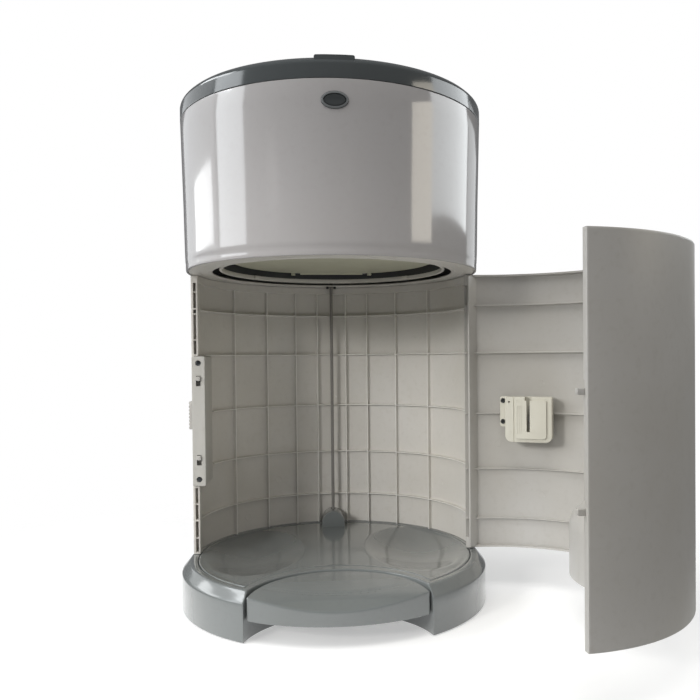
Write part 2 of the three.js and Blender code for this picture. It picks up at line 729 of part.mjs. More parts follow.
function flapPin(side) {
  const end = flapBarrel + 11;
  return bar('x', flapPinRadius, -end, end, [side * flapHingeY, flapBottom + flapPinRise]);
}

function flapSpring(side) {
  const centre = [side * flapHingeY, flapBottom + flapPinRise];
  const from = flapBarrel + 0.6;
  const to = from + 4.6;
  return bar('x', 2.5, from, to, centre).subtract(bar('x', flapPinRadius + gap, 0, 60, centre));
}

function deckRing() {
  const outer = shellProfile[5][0] - shellWall - 1;
  const inner = funnelTopRadius + 0.5;
  const low = shellTop - 8.7;
  const deck = turned([[inner, low], [outer, low], [outer, low + 7.5], [outer - 2, low + 7.5],
    [outer - 2, low + 2], [inner + 2, low + 2], [inner + 2, low + 5], [inner, low + 5]], innerSteps);
  return deck.subtract(bar('z', rodRadius + runningGap, 0, far, [0, rodY]))
    .subtract(block([-lidEarX - lidEarWidth - 0.5, lidHinge.y - 6, 0],
      [lidEarX + lidEarWidth + 0.5, 200, far]))
    .subtract(block([-60, 150, shellTop - lidReliefDepth - 1], [60, 200, far]))
    .subtract(block([-button.width / 2 - 7.6, -200, 0], [button.width / 2 + 7.6, -150, far]));
}

// ---------------------------------------------------------------- lid
function lidShell() {
  const r = lidRadius;
  const t = skin;
  let lid = turned([[r, lidBottom], [r, lidTop - 9], [r - 2.5, lidTop - 3], [r - 7.5, lidTop - 0.7],
    [120, lidTop - 0.1], [0, lidTop], [0, lidTop - t], [118, lidTop - t - 0.1], [r - 8.6, lidTop - t - 0.8],
    [r - 4.6, lidTop - 5], [r - t, lidTop - 10], [r - t, lidBottom]]);
  const nib = block([-19, -r, lidTop - 5], [19, -r + 6.5, lidTop - 0.2]).intersect(disc(r - 1.6, 0, far));
  const pad = block([-6, rodY - 5, lidPadZ], [6, rodY + 5, lidTop - 1]);
  const hingeWindow = block([-lidEarX - lidEarWidth - 1.2, lidHinge.y - 8, 0],
    [lidEarX + lidEarWidth + 1.2, 200, lidTop - 4.2]);
  lid = lid.add(nib).subtract(hingeWindow).add(pad);
  for (const side of [-1, 1]) {
    const x = side * (lidEarX - 0.5 - 2.5);
    const lug = block([x - 2.5, lidHinge.y - 4.5, lidHinge.z], [x + 2.5, lidHinge.y + 4.5, lidTop - 1])
      .add(bar('x', 4.5, x - 2.5, x + 2.5, [lidHinge.y, lidHinge.z]));
    lid = lid.add(lug);
  }
  return lid.subtract(bar('x', lidPinRadius + gap, -40, 40, [lidHinge.y, lidHinge.z]));
}

const linerRadius = 133;

function lidLiner() {
  const under = lidTop - skin - gap - 0.1;
  const r = linerRadius;
  const low = lidBottom + 7;
  return turned([[0, low], [r - 3, low], [r, low + 3], [r, under - 0.9], [r - 2, under - 0.9],
    [r - 2, low + 3.8], [r - 4, low + 2], [0, low + 2]], innerSteps);
}

function lidSeal() {
  const r = linerRadius + gap;
  return ring(r, r + 4.5, funnelTop + 0.6, lidTop - skin - 1.3, innerSteps);
}

function hingeBracket() {
  const y1 = 162.4;
  const x1 = lidEarX + lidEarWidth;
  const bottom = shellTop - 27.7;
  let bracket = block([-x1, y1 - 3, bottom], [x1, y1, shellTop - 1.7]);
  for (const side of [-1, 1]) {
    const a = side > 0 ? lidEarX : -x1;
    const ear = block([a, lidHinge.y - 5, bottom], [a + lidEarWidth, y1, lidHinge.z])
      .add(bar('x', 4, a, a + lidEarWidth, [lidHinge.y, lidHinge.z]));
    bracket = bracket.add(ear);
  }
  return bracket.subtract(bar('x', lidPinRadius + gap, -40, 40, [lidHinge.y, lidHinge.z]));
}

function lidHingePin() {
  return bar('x', lidPinRadius, -lidEarX - 3.5, lidEarX + 3.5, [lidHinge.y, lidHinge.z]);
}

// ---------------------------------------------------------------- lid lock button
const buttonFace = -167.3;

function buttonBezel() {
  const outer = profiled(ovalShape(button.width + 2 * button.bezel, button.height + 2 * button.bezel, button.z),
    buttonFace - 0.5, -157);
  const bore = ovalShape(button.width + 2 * gap, button.height + 2 * gap, button.z);
  return outer.subtract(profiled(bore, -190, -150));
}

function lockButton() {
  const cap = profiled(ovalShape(button.width, button.height, button.z), buttonFace, -156);
  return cap.subtract(bar('y', 4, -163, -150, [0, button.z]));
}

function buttonSpring() {
  return bar('y', 3.4, -162.6, -152, [0, button.z]).subtract(bar('y', 2.2, -170, -140, [0, button.z]));
}

// ---------------------------------------------------------------- assembly
add('base_shell', baseShell(), 'baseGrey');
add('floor_pan', floorPan(), 'baseGrey');
add('bottom_plate', bottomPlate(), 'darkGrey');
footPlaces.forEach(([x, y], i) => add(`foot_pad_${i + 1}`, footPad(x, y), 'rubber'));
add('centre_pad', footPad(0, 0), 'rubber');
add('pedal', pedal(), 'baseGrey');
add('pedal_lever', pedalLever(), 'darkGrey');
add('pedal_axle', bar('x', pedalAxleRadius, -44, 44, [pedalPivot.y, pedalPivot.z]), 'steel');
add('lift_rod', liftRod(), 'steel');
add('rod_foot', rodFoot(), 'darkGrey');
add('cabinet_wall', cabinetWall(), 'wallWhite');
add('latch_housing', latchHousing(), 'wallWhite');
add('latch_plate', latchPlate(), 'wallWhite');
add('latch_slider', latchSlider(), 'wallWhite');
add('latch_spring', latchSpring(), 'steel');
add('latch_screw_lower', latchScrew(latchScrewZ[0]), 'steel');
add('latch_screw_upper', latchScrew(latchScrewZ[1]), 'steel');
add('door_pin_lower', doorPin(cabinetBottom, doorBottom + 9), 'steel');
add('door_pin_upper', doorPin(doorTop - 9, shellBottom + 8), 'steel');
add('door_shell', doorShell(), 'wallWhite', doorPieces);
add('door_catch', doorCatch(), 'wallWhite', doorPieces);
add('cutter_housing', cutterHousing(), 'cream', doorPieces);
add('cutter_cover', cutterCover(), 'cream', doorPieces);
add('cutter_blade', cutterBlade(), 'steel', doorPieces);
add('cutter_screw_lower', cutterScrew(cutterScrewZ[0]), 'steel', doorPieces);
add('cutter_screw_upper', cutterScrew(cutterScrewZ[1]), 'steel', doorPieces);
add('upper_shell', upperShell(), 'shellWhite');
add('collar_plate', collarPlate(), 'wallWhite');
add('refill_ring', refillRing(), 'wallWhite');
add('refill_floor', refillFloor(), 'wallWhite');
add('refill_wall', refillWall(), 'wallWhite');
add('throat_tube', throatTube(), 'ivory');
add('funnel', funnel(), 'ivory');
add('deck_ring', deckRing(), 'wallWhite');
for (const [name, side] of [['front', -1], ['rear', 1]]) {
  add(`${name}_flap`, flap(side), 'ivory');
  add(`${name}_flap_pin`, flapPin(side), 'steel');
  add(`${name}_flap_spring`, flapSpring(side), 'steel');
}
add('lid_shell', lidShell(), 'lidGrey');
add('lid_liner', lidLiner(), 'wallWhite');
add('lid_seal', lidSeal(), 'rubber');
add('hinge_bracket', hingeBracket(), 'darkGrey');
add('lid_hinge_pin', lidHingePin(), 'steel');
add('button_bezel', buttonBezel(), 'darkGrey');
add('lock_button', lockButton(), 'darkGrey');
add('button_spring', buttonSpring(), 'steel');

export default pail;
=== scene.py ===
"""Step-on nappy pail with its cabinet door open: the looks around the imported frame.

Shapes are worked out in millimetres and turned into metres as each mesh is made.
The door and what it carries are drawn shut, then turned to where the frame holds them.
"""
import math

import bpy
import numpy as np
from mathutils import Matrix, Vector, geometry


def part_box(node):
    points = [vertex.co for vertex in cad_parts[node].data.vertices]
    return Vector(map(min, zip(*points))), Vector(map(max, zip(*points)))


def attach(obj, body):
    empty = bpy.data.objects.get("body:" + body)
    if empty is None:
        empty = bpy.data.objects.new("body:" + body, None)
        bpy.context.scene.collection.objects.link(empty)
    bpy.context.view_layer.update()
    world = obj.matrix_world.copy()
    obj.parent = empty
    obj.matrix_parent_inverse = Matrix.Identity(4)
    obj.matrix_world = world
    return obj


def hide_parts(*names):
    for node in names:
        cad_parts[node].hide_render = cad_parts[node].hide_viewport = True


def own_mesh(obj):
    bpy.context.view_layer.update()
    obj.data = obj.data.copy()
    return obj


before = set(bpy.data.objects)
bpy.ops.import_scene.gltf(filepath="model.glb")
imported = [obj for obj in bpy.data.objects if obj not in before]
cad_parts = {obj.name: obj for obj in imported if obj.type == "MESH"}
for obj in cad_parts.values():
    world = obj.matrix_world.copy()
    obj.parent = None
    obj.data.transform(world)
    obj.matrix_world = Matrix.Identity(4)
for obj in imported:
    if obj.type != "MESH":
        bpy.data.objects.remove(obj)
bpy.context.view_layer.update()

# ---------------------------------------------------------------- sizes from the frame
def span(node):
    low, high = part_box(node)
    return np.array(low) * 1000, np.array(high) * 1000


SKIN = 2.4
BASE_H = span("base_shell")[1][2]
CAB_R = 161.3
CAB_IN = 158.8
RIB_IN = 153.8
CAB_TOP = span("cabinet_wall")[1][2]
SHELL_BOTTOM, SHELL_TOP = span("upper_shell")[0][2], span("upper_shell")[1][2]
LID_BOTTOM, LID_TOP = span("lid_shell")[0][2], span("lid_shell")[1][2]
LID_R = span("lid_shell")[1][0]
HINGE = (156.2, -4.5)
DOOR_TURN = math.radians(95)
TOE_Y = -169.7
NOTCH_R = 94.2
FRONT_Y, FRONT_R = -159.7, 98.0
HOOKS = (246.4, 156.4)
SLOT_X = -153.6
WALL_FACE = 158.5  # just inside the inner face of the cabinet
BUTTON_Z = 507.8
LID_PIN = (158.5, 538)
FLAP_PIN = (106, 381.7)
LEVER_AXLE = (-10, 26)
LIFT_ROD = (0, 147)
LATCH_SCREWS = (134.1, 266.3)
CUTTER_SCREWS = (196, 220)
PIN_HOLE = 2.8
SCREW_TURN = np.array([[0.87, 0.5], [-0.5, 0.87]])


# ---------------------------------------------------------------- shapes: (points, faces)
def oriented(points, faces):
    points = np.asarray(points, float)
    volume = 0.0
    for face in faces:
        a = points[face[0]]
        for i in range(1, len(face) - 1):
            volume += np.dot(a, np.cross(points[face[i]], points[face[i + 1]]))
    if volume < 0:
        faces = [tuple(reversed(face)) for face in faces]
    return points, [tuple(face) for face in faces]


def joined(*shapes):
    points, faces, start = [], [], 0
    for p, f in shapes:
        points.append(p)
        faces += [tuple(i + start for i in face) for face in f]
        start += len(p)
    return np.concatenate(points), faces


def moved(shape, offset=(0, 0, 0), turn=0.0, about=(0, 0)):
    """Turned about a vertical line, then shifted."""
    p, f = shape
    c, s = math.cos(turn), math.sin(turn)
    x, y = p[:, 0] - about[0], p[:, 1] - about[1]
    out = np.stack([x * c - y * s + about[0], x * s + y * c + about[1], p[:, 2]], 1)
    return out + np.array(offset, float), f


def axes(shape, axis):
    """Stands a shape that was drawn along Z along X or Y instead."""
    p, f = shape
    if axis == "x":
        p = p[:, [2, 0, 1]]
    elif axis == "y":
        p = p[:, [1, 2, 0]]
    return oriented(p, f)


def mirrored(shape, axis):
    p, f = shape
    p = p.copy()
    p[:, axis] *= -1
    return oriented(p, f)


def rounded(corners, steps=4):
    """A polygon whose corners (x, y, radius) are rounded."""
    out = []
    count = len(corners)
    for i, corner in enumerate(corners):
        p = np.array(corner[:2], float)
        r = corner[2] if len(corner) > 2 else 0
        if r <= 0:
            out.append(tuple(p))
            continue
        a = np.array(corners[i - 1][:2], float) - p
        b = np.array(corners[(i + 1) % count][:2], float) - p
        la, lb = np.linalg.norm(a), np.linalg.norm(b)
        a, b = a / la, b / lb
        half = math.acos(max(-1, min(1, float(a @ b)))) / 2
        reach = min(r / math.tan(half), la * 0.49, lb * 0.49)
        r = reach * math.tan(half)
        centre = p + (a + b) / np.linalg.norm(a + b) * r / math.sin(half)
        start, end = p + a * reach - centre, p + b * reach - centre
        sweep = math.atan2(start[0] * end[1] - start[1] * end[0], float(start @ end))
        for k in range(steps + 1):
            t = sweep * k / steps
            c, s = math.cos(t), math.sin(t)
            out.append((centre[0] + start[0] * c - start[1] * s, centre[1] + start[0] * s + start[1] * c))
    return out


def lathe(corners, steps=160, fine=4):
    """A closed (radius, z, fillet) outline turned about Z."""
    outline = rounded(corners, fine)
    points, rows = [], []
    for r, z in outline:
        if abs(r) < 1e-6:
            rows.append([len(points)] * steps)
            points.append((0, 0, z))
        else:
            rows.append(list(range(len(points), len(points) + steps)))
            for k in range(steps):
                a = 2 * math.pi * k / steps
                points.append((r * math.cos(a), r * math.sin(a), z))
    return oriented(points, woven(rows, True, True))


def woven(rows, around, closed):
    """Quads between neighbouring rows of point numbers."""
    faces = []
    count = len(rows[0])
    for i in range(len(rows) if closed else len(rows) - 1):
        a, b = rows[i], rows[(i + 1) % len(rows)]
        for k in range(count if around else count - 1):
            n = (k + 1) % count
            face = [a[k], a[n], b[n], b[k]]
            face = [v for j, v in enumerate(face) if v != face[j - 1]]
            if len(face) > 2:
                faces.append(tuple(face))
    return faces


def loft(loops, caps=True, closed=False):
    """Rows of equally many 3-D points joined in order, capped or closed on themselves."""
    count = len(loops[0])
    points = np.concatenate([np.asarray(loop, float) for loop in loops])
    rows = [list(range(i * count, (i + 1) * count)) for i in range(len(loops))]
    faces = woven(rows, True, closed)
    if caps and not closed:
        faces += [tuple(reversed(rows[0])), tuple(rows[-1])]
    return oriented(points, faces)


def inset(outline, by):
    p = np.asarray(outline, float)
    before, after = np.roll(p, 1, 0), np.roll(p, -1, 0)
    area = np.sum(p[:, 0] * after[:, 1] - after[:, 0] * p[:, 1])

    def normal(d):
        n = np.stack([-d[:, 1], d[:, 0]], 1)
        return n / np.maximum(np.linalg.norm(n, axis=1), 1e-9)[:, None]

    a, b = normal(p - before), normal(after - p)
    n = a + b
    n /= np.maximum(np.linalg.norm(n, axis=1), 1e-9)[:, None]
    scale = 1 / np.maximum(np.sum(n * a, axis=1), 0.5)
    return p + n * (scale * by * (1 if area > 0 else -1))[:, None]


def prism(outline, low, high, edge=0.4, axis="z", steps=3):
    """A plan outline raised from low to high with rounded rims, then stood along an axis."""
    loops = []
    for z, sign in ((low, 1), (high, -1)):
        turns = [math.pi / 2 * k / steps for k in range(steps + 1)]
        part = []
        for t in turns:
            plan = inset(outline, edge * (1 - math.sin(t)))
            part.append(np.column_stack([plan, np.full(len(plan), z + sign * edge * (1 - math.cos(t)))]))
        loops += part if sign > 0 else part[::-1]
    return axes(loft(loops), axis)


def box(low, high, edge=0.4, corner=None, axis="z"):
    """A box with rounded edges, drawn along the named axis."""
    order = {"z": (0, 1, 2), "x": (1, 2, 0), "y": (2, 0, 1)}[axis]
    a, b = [low[i] for i in order], [high[i] for i in order]
    r = edge if corner is None else corner
    outline = rounded([(a[0], a[1], r), (b[0], a[1], r), (b[0], b[1], r), (a[0], b[1], r)], 3)
    return prism(outline, a[2], b[2], edge, axis)


def stood(shape, axis, place):
    """Stands a shape drawn along Z along an axis, through a place given across that axis."""
    a, b = place
    at = {"z": (a, b, 0), "x": (0, a, b), "y": (a, 0, b)}[axis]
    return moved(axes(shape, axis), at)


def rod(axis, radius, low, high, place, edge=0.3, steps=36):
    """A round bar with eased ends."""
    outline = [(0, low), (radius, low, edge), (radius, high, edge), (0, high)]
    return stood(lathe(outline, steps, 3), axis, place)


def core(radius, low, high, edge=0.1, steps=120):
    """A cylinder about the middle of the pail, to trim a shape with."""
    return rod("z", radius, low, high, (0, 0), edge, steps)


def coil(axis, radius, wire, low, high, place, turns):
    """A wound spring with closed ends."""
    steps, sides = int(turns * 22), 8
    loops = []
    for i in range(steps + 1):
        t = i / steps
        a = 2 * math.pi * turns * t
        rise = min(1.0, max(0.0, (t * turns - 0.75) / (turns - 1.5)))
        z = low + wire + (high - low - 2 * wire) * rise
        loop = []
        for k in range(sides):
            b = 2 * math.pi * k / sides
            r = radius - wire + wire * math.cos(b)
            loop.append((r * math.cos(a), r * math.sin(a), z + wire * math.sin(b)))
        loops.append(loop)
    return stood(loft(loops), axis, place)


def oval(width, height, z, count=72):
    return [(width / 2 * math.cos(a), z + height / 2 * math.sin(a))
            for a in np.linspace(0, 2 * math.pi, count, endpoint=False)]


def facing_y(outline, low, high, edge=0.4):
    """An outline of (x, z) points run along Y."""
    p, f = prism(outline, low, high, edge)
    return oriented(p[:, [0, 2, 1]], f)


# ---------------------------------------------------------------- joining and cutting
def raw_object(name, shape):
    mesh = bpy.data.meshes.new(name)
    mesh.from_pydata([tuple(p) for p in shape[0]], [], shape[1])
    mesh.update()
    obj = bpy.data.objects.new(name, mesh)
    bpy.context.scene.collection.objects.link(obj)
    return obj


def boolean(base, tools, operation):
    obj = raw_object("work", base)
    spare = [obj]
    for shape in tools:
        tool = raw_object("tool", shape)
        spare.append(tool)
        step = obj.modifiers.new("step", "BOOLEAN")
        step.operation = operation
        step.solver = "MANIFOLD"
        step.object = tool
    graph = bpy.context.evaluated_depsgraph_get()
    mesh = bpy.data.meshes.new_from_object(obj.evaluated_get(graph))
    points = np.array([v.co for v in mesh.vertices], float)
    faces = [tuple(f.vertices) for f in mesh.polygons]
    bpy.data.meshes.remove(mesh)
    for item in spare:
        mesh = item.data
        bpy.data.objects.remove(item)
        bpy.data.meshes.remove(mesh)
    if not len(points):
        raise ValueError("a boolean left nothing")
    return points, faces


def merge(base, *tools):
    return boolean(base, tools, "UNION")


def cut(base, *tools):
    return boolean(base, tools, "DIFFERENCE")


def common(base, *tools):
    return boolean(base, tools, "INTERSECT")


def block(low, high):
    """A plain cutter, never shown."""
    (x0, y0, z0), (x1, y1, z1) = low, high
    points = [(x, y, z) for z in (z0, z1) for x, y in ((x0, y0), (x1, y0), (x1, y1), (x0, y1))]
    faces = [(0, 3, 2, 1), (4, 5, 6, 7), (0, 1, 5, 4), (1, 2, 6, 5), (2, 3, 7, 6), (3, 0, 4, 7)]
    return oriented(points, faces)


MATERIALS = {}


def piece(name, shape, body, slot, nodes=(), sharp=32, finish=None):
    points, faces = shape
    mesh = bpy.data.meshes.new(name)
    mesh.from_pydata([tuple(p) for p in points / 1000], [], faces)
    mesh.validate()
    mesh.update()
    mesh.polygons.foreach_set("use_smooth", [True] * len(mesh.polygons))
    mesh.set_sharp_from_angle(angle=math.radians(sharp))
    mesh.materials.append(MATERIALS[finish or slot])
    obj = bpy.data.objects.new(name, mesh)
    bpy.context.scene.collection.objects.link(obj)
    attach(obj, body)
    if nodes:
        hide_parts(*nodes)
    return obj


def paint_ridge_highlights(obj):
    """The lit faces of the wall's rib ridges get a lighter colour than the wall: a painted highlight where
    light catches the ridges.
    """
    obj.data.materials.append(MATERIALS["rib_painted_highlight"])
    for face in obj.data.polygons:
        x, y, z = face.center * 1000
        on_ridge = math.hypot(x, y) < RIB_IN + 0.3 and z < 356
        if on_ridge and abs(face.normal.z) < 0.5 and math.atan2(x, y) > math.radians(-84):
            face.material_index = 1


def door_piece(name, shape, slot, nodes=(), sharp=32, finish=None):
    return piece(name, moved(shape, turn=DOOR_TURN, about=HINGE), "door", slot, nodes, sharp, finish)


# ---------------------------------------------------------------- materials
def finish_for(name, colour, rough, shade=0.06, grain=0.0, grain_size=900, coat=0.0, marks=0.05,
               edge_lift=0.0, warm=(1.0, 0.985, 0.95), metallic=0.0):
    """Slow colour drift, flow marks in the gloss, fine grain and, where asked for, lighter convex edges."""
    material = bpy.data.materials.new(name)
    material.use_nodes = True
    tree = material.node_tree
    nodes, link = tree.nodes, tree.links.new
    shader = nodes["Principled BSDF"]
    place = nodes.new("ShaderNodeTexCoord").outputs["Object"]

    def noise(scale, detail=3.0, warp=0.0):
        node = nodes.new("ShaderNodeTexNoise")
        node.inputs["Scale"].default_value = scale
        node.inputs["Detail"].default_value = detail
        node.inputs["Distortion"].default_value = warp
        link(place, node.inputs["Vector"])
        return node.outputs["Fac"]

    def spread(source, low, high, start=0.3, end=0.7):
        node = nodes.new("ShaderNodeMapRange")
        for key, value in (("From Min", start), ("From Max", end), ("To Min", low), ("To Max", high)):
            node.inputs[key].default_value = value
        link(source, node.inputs["Value"])
        return node.outputs["Result"]

    def mixed(factor, a, b):
        node = nodes.new("ShaderNodeMix")
        node.data_type = "RGBA"
        link(factor, node.inputs[0])
        for socket, value in ((node.inputs[6], a), (node.inputs[7], b)):
            if isinstance(value, bpy.types.NodeSocket):
                link(value, socket)
            else:
                socket.default_value = (*value, 1)
        return node.outputs[2]

    dark = tuple(c * (1 - shade) * w for c, w in zip(colour, warm))
    light = tuple(min(1.0, c * (1 + shade * 0.6)) for c in colour)
    tint = mixed(spread(noise(7, 4, 0.4), 0, 1), dark, light)
    dust = tuple(c * (1 - shade * 1.6) * w for c, w in zip(colour, warm))
    tint = mixed(spread(noise(160, 6), 0, 0.5, 0.52, 0.75), tint, dust)
    # convex edges, found by pointiness, are made lighter than the rest of the surface
    if edge_lift > 0:
        edge = nodes.new("ShaderNodeNewGeometry").outputs["Pointiness"]
        edge_tone = tuple(min(1.0, c * (1 + edge_lift) + edge_lift * 0.05) for c in colour)
        tint = mixed(spread(edge, 0, 0.8, 0.56, 0.68), tint, edge_tone)
    link(tint, shader.inputs["Base Color"])
    gloss = spread(noise(24, 5, 0.6), rough * (1 - marks * 3), rough * (1 + marks * 3))
    link(gloss, shader.inputs["Roughness"])
    shader.inputs["IOR"].default_value = 1.48
    if metallic:
        shader.inputs["Metallic"].default_value = metallic
    if coat:
        shader.inputs["Coat Weight"].default_value = coat
        shader.inputs["Coat Roughness"].default_value = rough * 0.6
    if grain:
        slow = nodes.new("ShaderNodeBump")
        slow.inputs["Strength"].default_value = 0.06
        slow.inputs["Distance"].default_value = 0.002
        link(noise(32, 1), slow.inputs["Height"])
        fine = nodes.new("ShaderNodeBump")
        fine.inputs["Strength"].default_value = grain
        fine.inputs["Distance"].default_value = 0.0002
        link(noise(grain_size, 2), fine.inputs["Height"])
        link(slow.outputs["Normal"], fine.inputs["Normal"])
        link(fine.outputs["Normal"], shader.inputs["Normal"])
    return material


METAL = {"shade": 0.12, "grain": 0.1, "grain_size": 1600, "marks": 0.1, "metallic": 1.0}
# name, colour, roughness, and what differs from a plain moulding
for name, colour, rough, extra in (
    ("base_grey", (0.165, 0.178, 0.178), 0.19,
     {"grain": 0.05, "grain_size": 500, "coat": 1.0, "warm": (1, 1, 0.98)}),
    ("dark_plastic", (0.045, 0.048, 0.05), 0.42, {"grain": 0.2}),
    ("rubber", (0.022, 0.022, 0.023), 0.72, {"grain": 0.4, "grain_size": 1400}),
    ("steel", (0.46, 0.46, 0.47), 0.28, METAL),
    ("screw_steel", (0.16, 0.17, 0.18), 0.34, METAL),
    ("rod_steel", (0.24, 0.23, 0.22), 0.5, {"grain": 0.1, "grain_size": 1600}),
    ("cabinet_white", (0.66, 0.64, 0.605), 0.38, {"grain": 0.16, "grain_size": 1500, "edge_lift": 0.12}),
    ("latch_white", (0.55, 0.54, 0.51), 0.34, {"grain": 0.1, "grain_size": 1500}),
    # the rib ridges' lighter colour is a painted highlight, not the plastic's own colour
    ("rib_painted_highlight", (0.86, 0.85, 0.82), 0.4, {"shade": 0.03}),
    ("door_white", (0.50, 0.488, 0.465), 0.36, {"grain": 0.14, "grain_size": 1500, "edge_lift": 0.12}),
    ("shell_white", (0.43, 0.417, 0.417), 0.12,
     {"shade": 0.03, "grain": 0.03, "grain_size": 300, "coat": 1.0, "marks": 0.04, "warm": (1, 0.99, 0.975)}),
    ("cutter_cream", (0.66, 0.645, 0.57), 0.34, {"grain": 0.12, "grain_size": 1300, "edge_lift": 0.1}),
    ("flap_ivory", (0.55, 0.55, 0.43), 0.4, {"grain": 0.15, "grain_size": 1200}),
    ("lid_grey", (0.068, 0.076, 0.078), 0.15,
     {"shade": 0.04, "grain": 0.04, "grain_size": 320, "coat": 1.0, "edge_lift": 0.2, "warm": (1, 1, 1)}),
    ("button_grey", (0.050, 0.055, 0.057), 0.26, {"grain": 0.06, "grain_size": 900}),
    ("ring_grey", (0.17, 0.18, 0.185), 0.22, {"coat": 0.4, "shade": 0.03}),
):
    MATERIALS[name] = finish_for(name, colour, rough, **extra)


# ---------------------------------------------------------------- camera, floor and light
def camera():
    data = bpy.data.cameras.new("camera")
    data.sensor_width = 36
    data.lens = 733.35 / 700 * 36
    data.shift_x = -0.0446
    data.shift_y = 0.0264
    data.clip_start, data.clip_end = 0.01, 30
    obj = bpy.data.objects.new("camera", data)
    bpy.context.scene.collection.objects.link(obj)
    right = Vector((0.99643975, -0.08381546, -0.00909912))
    up = Vector((0.01014762, 0.01209217, 0.99987539))
    ahead = Vector((0.08369499, 0.99640792, -0.01289964))
    turn = Matrix((right, up, -ahead)).transposed()
    obj.matrix_world = Matrix.Translation((-0.0164, -0.8450, 0.26915)) @ turn.to_4x4()
    bpy.context.scene.camera = obj


def light(kind, name, place, target, power, colour, mirrored_in_gloss):
    data = bpy.data.lights.new(name, kind)
    data.energy = power
    data.color = colour
    obj = bpy.data.objects.new(name, data)
    bpy.context.scene.collection.objects.link(obj)
    obj.rotation_euler = (Vector(target) - Vector(place)).to_track_quat("-Z", "Y").to_euler()
    obj.location = place
    obj.visible_glossy = mirrored_in_gloss
    return obj


def area_light(name, place, target, size, power, colour, mirrored_in_gloss):
    obj = light("AREA", name, place, target, power, colour, mirrored_in_gloss)
    obj.data.shape = "RECTANGLE"
    obj.data.size, obj.data.size_y = size
    obj.visible_camera = False


def spot_light(name, place, target, power, angle, colour):
    """A narrow, soft-edged beam that lights the cabinet and the base but stays below the drum."""
    data = light("SPOT", name, place, target, power, colour, False).data
    data.spot_size = math.radians(angle)
    data.spot_blend = 0.75
    data.shadow_soft_size = 0.16


def studio():
    """A white room that lights the pail softly, with bright windows to its left and right."""
    scene = bpy.context.scene
    scene.view_settings.view_transform = "Standard"
    world = bpy.data.worlds.new("studio")
    scene.world = world
    world.use_nodes = True
    nodes, link = world.node_tree.nodes, world.node_tree.links.new
    background = nodes["Background"]
    backdrop = nodes.new("ShaderNodeBackground")
    backdrop.inputs["Color"].default_value = (1, 1, 1, 1)
    background.inputs["Color"].default_value = (0.96, 0.97, 1.0, 1)
    background.inputs["Strength"].default_value = 0.15
    switch = nodes.new("ShaderNodeMixShader")
    link(nodes.new("ShaderNodeLightPath").outputs["Is Camera Ray"], switch.inputs[0])
    link(background.outputs[0], switch.inputs[1])
    link(backdrop.outputs[0], switch.inputs[2])
    link(switch.outputs[0], nodes["World Output"].inputs["Surface"])

    # the pale floor fades into the room, so that it has no horizon
    material = bpy.data.materials.new("pale_floor")
    material.use_nodes = True
    nodes, link = material.node_tree.nodes, material.node_tree.links.new
    shader = nodes["Principled BSDF"]
    shader.inputs["Base Color"].default_value = (0.74, 0.74, 0.736, 1)
    shader.inputs["Roughness"].default_value = 0.8
    shader.inputs["Emission Color"].default_value = (1, 1, 1, 1)
    shader.inputs["Emission Strength"].default_value = 0.40
    measure = nodes.new("ShaderNodeVectorMath")
    measure.operation = "LENGTH"
    link(nodes.new("ShaderNodeTexCoord").outputs["Object"], measure.inputs[0])
    fade = nodes.new("ShaderNodeMapRange")
    fade.interpolation_type = "SMOOTHERSTEP"
    for key, value in (("From Min", 0.18), ("From Max", 0.70), ("To Min", 0), ("To Max", 1)):
        fade.inputs[key].default_value = value
    link(measure.outputs["Value"], fade.inputs["Value"])
    clear = nodes.new("ShaderNodeMixShader")
    link(fade.outputs["Result"], clear.inputs[0])
    link(shader.outputs[0], clear.inputs[1])
    link(nodes.new("ShaderNodeBsdfTransparent").outputs[0], clear.inputs[2])
    link(clear.outputs[0], nodes["Material Output"].inputs["Surface"])
    corners = [(x * 1.25, y * 1.25) for x, y in ((-1, -1), (1, -1), (1, 1), (-1, 1))]
    floor = raw_object("floor", (np.array([(x, y, 0) for x, y in corners]), [(0, 1, 2, 3)]))
    floor.data.materials.append(material)

    # name, place, target, (width, height), watts, colour, whether gloss mirrors it
    for row in (
        ("window_left", (-1.25, -0.345, 0.80), (0, -0.345, 0.80), (0.57, 0.78), 4.4, (0.93, 0.97, 1.0), True),
        ("window_left_far", (-1.25, 0.86, 0.78), (0, 0.86, 0.78), (1.72, 0.80), 3.1, (0.95, 0.98, 1.0), True),
        ("window_pane", (-1.24, 0.40, 0.62), (0, 0.40, 0.62), (0.62, 0.22), 1.3, (0.97, 0.99, 1.0), True),
        ("window_right", (1.35, 0.16, 0.93), (0, 0.16, 0.93), (1.12, 0.62), 5.6, (0.94, 0.98, 1.0), True),
        ("window_right_far", (1.35, 1.30, 0.72), (0, 1.30, 0.72), (1.05, 0.66), 1.6, (0.95, 0.98, 1.0), True),
        ("lamp_right", (1.35, -0.65, 0.76), (0, -0.65, 0.76), (0.50, 0.50), 2.3, (1.0, 0.93, 0.80), True),
        ("window_high", (-1.25, 0.05, 1.27), (0, 0.05, 0.9), (0.8, 0.36), 4.6, (0.95, 0.98, 1.0), True),
        ("key", (-1.4, -0.75, 0.85), (0.08, 0.05, 0.15), (0.7, 0.7), 6, (1.0, 0.99, 0.97), False),
        ("ceiling", (-0.2, -0.72, 1.9), (0, 0, 0.1), (1.2, 1.0), 18, (1.0, 0.99, 0.97), False),
    ):
        area_light(*row)
    spot_light("low_spot", (-0.95, -1.05, 0.62), (0.07, -0.03, 0.13), 44, 24, (1.0, 0.99, 0.97))
    spot_light("low_fill", (0.25, -1.50, 0.60), (0, 0, 0.15), 7, 22, (1.0, 0.98, 0.95))


camera()
studio()


